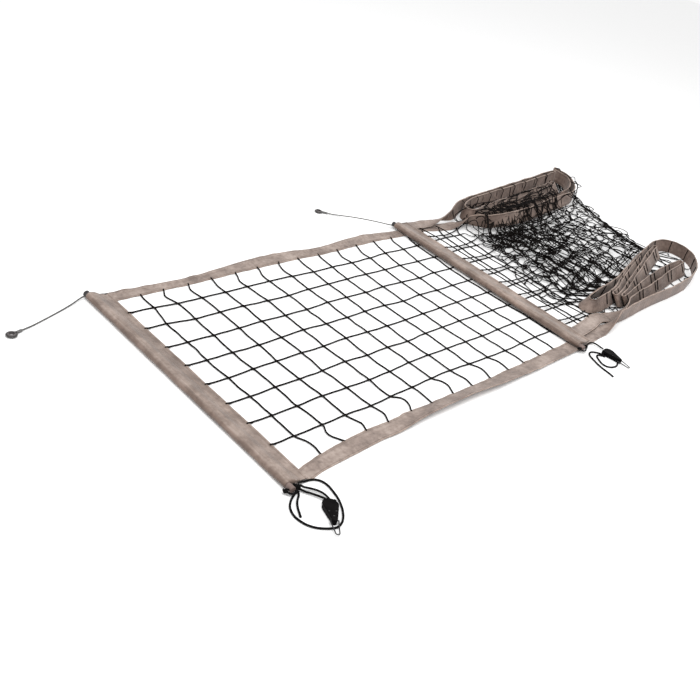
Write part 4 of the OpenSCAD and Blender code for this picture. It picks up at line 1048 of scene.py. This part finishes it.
def pile():
    r = rng(77)
    cols = np.arange(NC)
    ps = np.searchsorted(CUM, cols, side="right") - 1
    ps = np.minimum(ps, 7)
    na = along(near_line, np.interp(cols, CUM, NEAR_S) - 1604)
    fs = top.s[K_TOP] + np.interp(cols, CUM, FAR_S)
    rim = np.stack([np.interp(fs, top.s, top.P[:, 0, k]) for k in range(3)], 1)
    nt = along(near_line, np.interp(cols, CUM, NEAR_S) - 1594) - na
    A = np.c_[na, np.full(NC, 4.0)]
    B = rim + [0, 0, 1.5]
    rib = (cols >= 2) & (cols <= 11)
    side = unit(np.stack([-nt[:, 1], nt[:, 0]], 1))
    X = np.zeros((NC, NP, 3))
    u = np.linspace(0, 1, NP)
    L = np.maximum(900.0, 1.15 * np.linalg.norm(B - A, axis=1))
    seg = L / (NP - 1)
    for c in range(NC):
        a, b = A[c], B[c]
        d = np.linalg.norm(b - a)
        n = 3 + (c * 7) % 3
        amp = d / (math.pi * n) * math.sqrt(max(L[c] / d - 1, 0.0005))
        ph = r.uniform(0, 6.28, 2)
        env = np.sin(math.pi * u) ** 0.5
        X[c] = a + (b - a) * (1 - (1 - u) ** (1.22 if 10 <= c < 60 else 1.05))[:, None]
        X[c, :, 0] += env * (0.75 * amp * np.sin(2 * math.pi * n * u + ph[0]) + r.uniform(-14, 14) * np.sin(math.pi * u))
        X[c, :, 1] += env * 0.35 * amp * np.sin(4 * math.pi * n * u + ph[1])
        X[c, :, 2] += env * (20 + 0.8 * amp * (1 + np.sin(2 * math.pi * n * u + ph[1])))
    fixed = np.zeros((NC, NP), bool)
    fixed[:, 0] = fixed[:, -1] = True
    for c in np.nonzero(rib)[0]:
        X[c, :3], _ = on_wall(c, np.array([55.0, 30.0, 5.0]))
        X[c, 2, 2] = max(X[c, 2, 2], 4.0)
        fixed[c, :3] = True
    # cords of the two rear passes hang down the wall's inner face before they run out over the other folds
    for c in range(NC):
        if c >= 48 and 1960 < rim[c, 0] < 2740:
            hang = [(0, -7.0, -20), (0, -10.0, -42)] if c < 56 else [(-2, -28.0, 0.5), (-3, -31.0, -20), (-3, -33.0, -42)]
            for k, (dx, dy, dz) in enumerate(hang):
                X[c, NP - 2 - k] = B[c] + [dx, dy, dz]
                fixed[c, NP - 2 - k] = True
    # level cords: three points between neighbouring columns in each of eight rows, starting from the flat part's last knots
    rows = 3 + 4 * np.arange(8)  # from the bottom tape up
    start = np.array([[*grid_pts[NI, 8 - k], 3.0] for k in range(8)])
    H = np.zeros((NC, 8, 3, 3))  # before column c
    for c in range(NC):
        for k in range(8):
            p = start[k] if c == 0 else X[c - 1, rows[k]]
            q = X[c, rows[k]]
            for m_ in range(3):
                H[c, k, m_] = p + (q - p) * (m_ + 1) / 4 + [r.uniform(-6, 6), r.uniform(-6, 6), r.uniform(0, 8)]
    nX = NC * NP
    P = np.concatenate([X.reshape(-1, 3), H.reshape(-1, 3), start])
    fix = np.concatenate([fixed.ravel(), np.zeros(NC * 24, bool), np.ones(8, bool)])
    vid = lambda c, k: c * NP + k
    hid = lambda c, k, m_: nX + (c * 8 + k) * 3 + m_
    sid = lambda k: nX + NC * 24 + k
    I, J, R0, I2, J2, R2 = [], [], [], [], [], []
    for c in range(NC):
        for k in range(NP - 1):
            I.append(vid(c, k)); J.append(vid(c, k + 1)); R0.append(seg[c])
        for k in range(NP - 2):
            I2.append(vid(c, k)); J2.append(vid(c, k + 2)); R2.append(seg[c] * 1.62)
        for k in range(8):
            prev = sid(k) if c == 0 else vid(c - 1, rows[k])
            chain = [prev, hid(c, k, 0), hid(c, k, 1), hid(c, k, 2), vid(c, rows[k])]
            for a, b in zip(chain, chain[1:]):
                I.append(a); J.append(b); R0.append(25.5)
            for a, b in zip(chain, chain[2:]):
                I2.append(a); J2.append(b); R2.append(25.5 * 1.62)
    I, J, R0, I2, J2, R2 = map(np.array, (I, J, R0, I2, J2, R2))
    layer = np.concatenate([np.repeat(ps, NP), np.repeat(ps, 24), np.zeros(8, int)]).astype(float)
    cnt = np.bincount(I, minlength=len(P)) + np.bincount(J, minlength=len(P))
    cnt2 = np.bincount(I2, minlength=len(P)) + np.bincount(J2, minlength=len(P))
    w = np.where(fix, 0.0, 1.0)
    leg1 = np.array([[1800, 850], [1822, 822], [1880, 778], [1980, 754], [2200, 758], [2450, 787], [2640, 812], [2740, 868], [2815, 955], [2850, 1040]], float)
    back = np.array([[1810, 873], [1930, 930], [2200, 958], [2450, 982], [2690, 1012], [2782, 1030], [2850, 1060]], float)
    right = np.array([[298, 2594], [384, 2649], [505, 2678], [577, 2700], [693, 2771], [813, 2812]], float)

    def floor_at(p):
        x, y = p[:, 0], p[:, 1]
        y1 = np.interp(x, leg1[:, 0], leg1[:, 1])
        y7 = np.interp(x, back[:, 0], back[:, 1])
        base = 2.8 + 4.6 * layer * ease(y, 230, 350) * ease(x, 1800, 1960) + 3.0 * (layer > 3)
        base = base + 10 * np.exp(-np.clip(y1 - y, 0, 400) / 60.0) * ease(x, 1900, 2050)
        # over the folded top tape, across the passes: up the first wall's face, over the leaning ones, down into the gap and up to the rear wall
        d = y - y1
        gap = y7 - y1
        top_ = np.interp(d, [-24, -7, 0, 30, 66, 150], [8, 21, 34, 85, 70, 67])
        top_ = np.where(d > 150, np.interp((d - 150) / np.maximum(gap - 150 + 8, 5), [0, 0.3, 0.85, 1], [67, 40, 38, 84]), top_)
        left_ = np.where((x < 1990) & (d > 34), 0.2, 1.0)
        inside = (x > 1780) & (x < 2640) & (d > -24)
        top_ = top_ * ease(x, 1770, 1890)
        right_in = (x >= 2640) & (d > 6) & (x < 2850)
        on_wall = (x >= 2640) & (np.abs(d - 6) < 16)
        f = np.where(inside, np.maximum(base, top_ * left_ * (d < gap - 5) + top_ * (d >= gap - 5)), base)
        f = np.where(right_in, 40.0, f)
        return np.where(on_wall, 84.0, f)

    V = np.zeros_like(P)
    steps, its = ((230, 9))
    for st in range(steps):
        V *= 0.965
        V[:, 2] -= 0.55
        V[w == 0] = 0
        Q = P + V
        for _ in range(its):
            D = Q[J] - Q[I]
            l = np.linalg.norm(D, axis=1)
            wi, wj = w[I], w[J]
            k = (l - R0) / np.maximum(l, 1e-6) / np.maximum(wi + wj, 1e-6)
            C = D * k[:, None]
            dl = np.zeros_like(Q)
            for ax in range(3):
                dl[:, ax] = np.bincount(I, C[:, ax] * wi, len(P)) - np.bincount(J, C[:, ax] * wj, len(P))
            Q += 1.35 * dl / np.maximum(cnt, 1)[:, None]
            D = Q[J2] - Q[I2]
            l = np.linalg.norm(D, axis=1)
            k = np.minimum(0, (l - R2)) / np.maximum(l, 1e-6) / np.maximum(w[I2] + w[J2], 1e-6)
            C = D * k[:, None]
            for ax in range(3):
                dl[:, ax] = np.bincount(I2, C[:, ax] * w[I2], len(P)) - np.bincount(J2, C[:, ax] * w[J2], len(P))
            Q += 0.9 * dl / np.maximum(cnt2, 1)[:, None]
            xr = np.interp(Q[:, 1], right[:, 0], right[:, 1])
            over = (Q[:, 0] > xr) & (w > 0) & (Q[:, 1] > 298) & (Q[:, 1] < 813)
            Q[over, 0] -= 0.3 * (Q[over, 0] - xr[over])
            F = floor_at(Q)
            low = (Q[:, 2] < F) & (w > 0)
            rise = np.minimum(F[low] - Q[low, 2], 6.0)
            Q[low, 2] += rise
        V = Q - P
        touch = Q[:, 2] < floor_at(Q) + 0.6
        V[touch, :2] *= np.where(Q[touch, 2] > 25, 0.2, 0.55)[:, None]
        V = np.clip(V, -8, 8)
        P = np.where(w[:, None] > 0, Q, P)
    # the folded layers lie a little further toward the first end in their middle than at the tapes
    xr = np.interp(P[:, 1], right[:, 0], right[:, 1])
    col = np.concatenate([np.repeat(cols, NP), np.repeat(cols, 24), np.zeros(8, int)]).astype(float)
    wt = ease(P[:, 1], 150, 260) * (1 - 0.3 * ease(P[:, 1], 700, 770)) * (1 - ease(P[:, 1], 850, 950)) * ease(col, 11, 16) * (1 - ease(col, 60, 64.5)) * w
    xl = 1700 + (P[:, 1] - 140) * 0.29
    tt = np.clip((xr - P[:, 0]) / (xr - xl), 0, 1.2)
    y_old = np.interp(P[:, 0], leg1[:, 0], leg1[:, 1])
    P[:, 0] += -(xr - xl) * wt * np.clip(1.20 * tt ** 0.72 - tt, -0.2, 0.3) * (tt > 0)
    P[:, 1] += (np.interp(P[:, 0], leg1[:, 0], leg1[:, 1]) - y_old) * ease(P[:, 1], 600, 735) * (1 - ease(P[:, 1], 880, 960)) * ease(P[:, 0], 1830, 1930) * w
    # a little unevenness so that crossing cords of one layer don't run through each other
    lift = np.zeros(len(P))
    lift[nX:nX + NC * 24] = 3.6
    P[:, 2] += lift * w
    X = P[:nX].reshape(NC, NP, 3)
    H = P[nX:nX + NC * 24].reshape(NC, 8, 3, 3)
    return X, H, start, rows, side, na


PX, PH, PSTART, ROWS, SIDE, NA = pile()
pm = Soup()
for c in range(NC):
    pm.tube(smooth(PX[c], 3), Rp, 6)
for k in range(8):
    pts = [PSTART[k]]
    for c in range(NC):
        pts += [PH[c, k, 0], PH[c, k, 1], PH[c, k, 2], PX[c, ROWS[k]] + [0, 0, 1.6]]
    pm.tube(smooth(np.array(pts), 3), Rp, 6)
for c in range(NC):
    for k in range(8):
        rr = rng(3000 + c * 9 + k)
        pm.blob(PX[c, ROWS[k]] + [0, 0, 0.8], (4.8, 4.1, 3.5), (rr.uniform(-1, 1), rr.uniform(-1, 1), 0.1), 3000 + c * 9 + k, 0.15, 4, 6)
# cords lying against the inner faces of the outer loop's other walls
for c in range(12, 22):
    line, inward = on_wall(c, np.array([59.0, 52.0, 40.0, 25.0, 8.0]), 2.4)
    foot = np.array([line[-1][0], line[-1][1], 0.0])
    pts = [*line, foot + inward * 9 * [1, 1, 0] + [0, 0, 2.9], foot + inward * 32 * [1, 1, 0] + [4, 0, 2.9]]
    pm.tube(smooth(np.array(pts), 4), Rp, 6)
# and on the leaning legs of the folded bottom tape, on the side that faces up
for c in range(23, 64):
    s_ = bot.s[K_BOT] - 96 + float(np.interp(c + 0.5 * (c % 2), CUM, NEAR_S)) - 1604
    k_ = int(np.argmin(np.abs(bot.s - s_)))
    if bot.N[k_, 2] > 0:
        face, out = bot.P[k_, :NW], bot.N[k_]
    else:
        face, out = bot.P[k_, [0, *range(NV - 1, NW - 1, -1), NW - 1]], -bot.N[k_]
    hang = np.stack([np.interp([59.5, 52, 40, 28, 16], RING_W, face[:, j]) for j in range(3)], -1) + 2.5 * out
    pm.tube(smooth(hang + np.linspace(0, 1, 5)[:, None] * [(-1) ** c * 4.0, 0, 0], 4), Rp, 6)
# crumpled cords in front of the far folds' left end
for k in range(8):
    y0 = 628.0 + 15 * k
    pts = [[1775.0 + 10 * k + 36 * i, y0 + 11 * math.sin(1.7 * i + 1.3 * k), 2.6 + 3.2 * ((i + k) % 2)] for i in range(9)]
    pm.tube(smooth(pts, 4), Rp, 6)
for k in range(8):
    x0 = 1806.0 + 36 * k
    pts = [[x0 + 10 * math.sin(1.4 * i + 2.1 * k), 622.0 + 21 * i, 4.6 + 3.4 * ((i + k) % 2)] for i in range(7)]
    pts[0][2] = 2.6
    pm.tube(smooth(pts, 4), Rp, 6)
# a bunch of cords under and beside the right end of the folded top tape
for k in range(6):
    x, y = 2778.0 + 11 * k, 950.0 + 3 * (k % 3)
    pts = [[x - 16, y - 12, 2.6], [x - 4, y + 6, 5 + 2 * (k % 2)], [x + 9 + 4 * (k % 2), y + 32, 9 + 3 * (k % 3)], [x + 14 - 5 * (k % 3), y + 60, 8 + 4 * (k % 2)], [x + 27, y + 86, 7], [x + 26 + 3 * k, y + 108, 2.8]]
    pm.tube(smooth(pts, 4), Rp, 6)
for k in range(7):
    y = 948.0 + 15 * k
    pts = [[2752 + 3 * k, y - 4, 2.6], [2780, y + 6, 11 + 2 * (k % 2)], [2806, y + 2 + 5 * (k % 2), 14], [2834, y + 12, 13 - 2 * (k % 2)], [2860 + 2 * k, y + 14, 2.8]]
    pm.tube(smooth(pts, 4), Rp, 6)
pile_net = paint(pm.make("net_mesh_pile"), M_TWINE)
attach(pile_net, MAIN)
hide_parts("mesh_folds")

# ---------------------------------------------------------------- returned mesh
em = Soup()
ends = {}
for k in range(8):
    j = k + 1
    y0 = 100.0 * j + 14
    fl_ = rp(74, y0 - 18 + 3, 12 + 2.6)
    p0 = PX[NC - 1, ROWS[k]] + [0, 0, 1.6]
    ends[k] = [[1545 + 4 * math.sin(j), y0 + 2 * math.cos(j * 2.0), 13.0], [1645 + 5 * math.sin(j * 1.7), y0 - 2 + 2 * math.sin(j), 9.5]]
    pts = [[fl_[0] - 6, y0, fl_[2] - 0.5], [fl_[0] + 10, y0, fl_[2] - 1.5], *ends[k], p0]
    em.tube(cord_line(pts, 700 + j * 5, 1.8, 0.8), Rt, 8)
    em.tube(smooth([[fl_[0] + 9, y0 - 1, fl_[2] - 1.4], [fl_[0] + 3, y0 - 1, fl_[2] + 2.0], [fl_[0] - 3, y0, fl_[2] + 2.4], [fl_[0] - 7, y0 + 1, fl_[2] + 0.8]], 4), Rt * 0.9, 6)
    em.blob([fl_[0] + 9, y0 - 1, fl_[2] - 1.0], (5.4, 4.4, 3.2), (1, 0, 0), 60 + j, 0.15)
    for p in ends[k]:
        em.blob([p[0], p[1], p[2] + 0.4], (5.4, 4.6, 3.4), (1, 0.3, 0), 80 + j, 0.15)
for m_, x in ((0, 1545), (1, 1645)):
    yn, yf = (66, 897) if m_ == 0 else (80, 888)
    pts = [[x + 6, yn, 12.5], *[[ends[k][m_][0], ends[k][m_][1], ends[k][m_][2] + 0.9] for k in range(8)], [x - 8, yf, 12.5]]
    em.tube(cord_line(pts, 760 + 7 * m_, 1.8, 0.8), Rt, 8)
end_net = paint(em.make("net_mesh_returned"), M_TWINE)
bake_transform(end_net)
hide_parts("end_mesh")

# ---------------------------------------------------------------- carried-over CAD nodes
for k, mt in (("left_sleeve_plug", M_PLUG), ("right_sleeve_plug", M_PLUG), ("left_pole", M_POLE), ("right_pole", M_POLE),
              ("left_pole_cap_top", M_PLUG), ("right_pole_cap_top", M_PLUG), ("left_pole_cap_bottom", M_CAP), ("right_pole_cap_bottom", M_CAP)):
    for sl in N[k].material_slots:
        sl.material = mt
for side in ("left_", "right_"):
    for k, mt in (("tensioner_base", M_TENS), ("tensioner_cover", M_TENS), ("tensioner_screws", M_WIRE), ("roller", M_ROLL), ("roller_pin", M_WIRE),
                  ("cam", M_CAM), ("cam_pin", M_WIRE), ("cam_spring", M_WIRE), ("bail", M_BAIL), ("thimble", M_THIMBLE)):
        for sl in N[side + k].material_slots:
            sl.material = mt
for k, wd in (("tensioner_base", 0.0009), ("tensioner_cover", 0.0009), ("sleeve_plug", 0.0006), ("pole_cap_bottom", 0.0010)):
    for side in ("left_", "right_"):
        bv = N[side + k].modifiers.new("round", "BEVEL")
        bv.width = wd
        bv.segments = 2
        bv.limit_method = "ANGLE"
        bv.angle_limit = math.radians(50)

for side in ("left_", "right_"):
    dm = N[side + "bail"].modifiers.new("plating", "DISPLACE")
    dm.strength = 0.0004
    dm.mid_level = 0.0

# ---------------------------------------------------------------- floor and light
fl = bpy.data.meshes.new("floor")
fl.from_pydata([(-12, -12, -0.0005), (12, -12, -0.0005), (12, 12, -0.0005), (-12, 12, -0.0005)], [], [(0, 1, 2, 3)])
floor = bpy.data.objects.new("floor", fl)
bpy.context.scene.collection.objects.link(floor)
fm, fnt, fbs = material("pale_floor")
fbs.inputs["Base Color"].default_value = (0.93, 0.93, 0.93, 1)
fbs.inputs["Roughness"].default_value = 0.9
fbs.inputs["Specular IOR Level"].default_value = 0.1
fl.materials.append(fm)

world = bpy.data.worlds.new("studio")
bpy.context.scene.world = world
world.use_nodes = True
world.node_tree.nodes["Background"].inputs[0].default_value = (1, 1, 1, 1)
world.node_tree.nodes["Background"].inputs[1].default_value = 0.95


def area(name, at, target, size, power):
    d = bpy.data.lights.new(name, "AREA")
    d.shape = "SQUARE"
    d.size = size
    d.energy = power
    o = bpy.data.objects.new(name, d)
    bpy.context.scene.collection.objects.link(o)
    o.location = at
    o.rotation_euler = (Vector(target) - Vector(at)).to_track_quat("-Z", "Y").to_euler()
    return o


area("key", (-1.5, -1.0, 4.2), (0.2, 0.2, 0), 3.0, 120)
area("fill", (3.0, -2.5, 3.0), (0.2, 0, 0), 3.5, 45)
bpy.context.scene.view_settings.view_transform = "Standard"
bpy.context.scene.view_settings.look = "None"
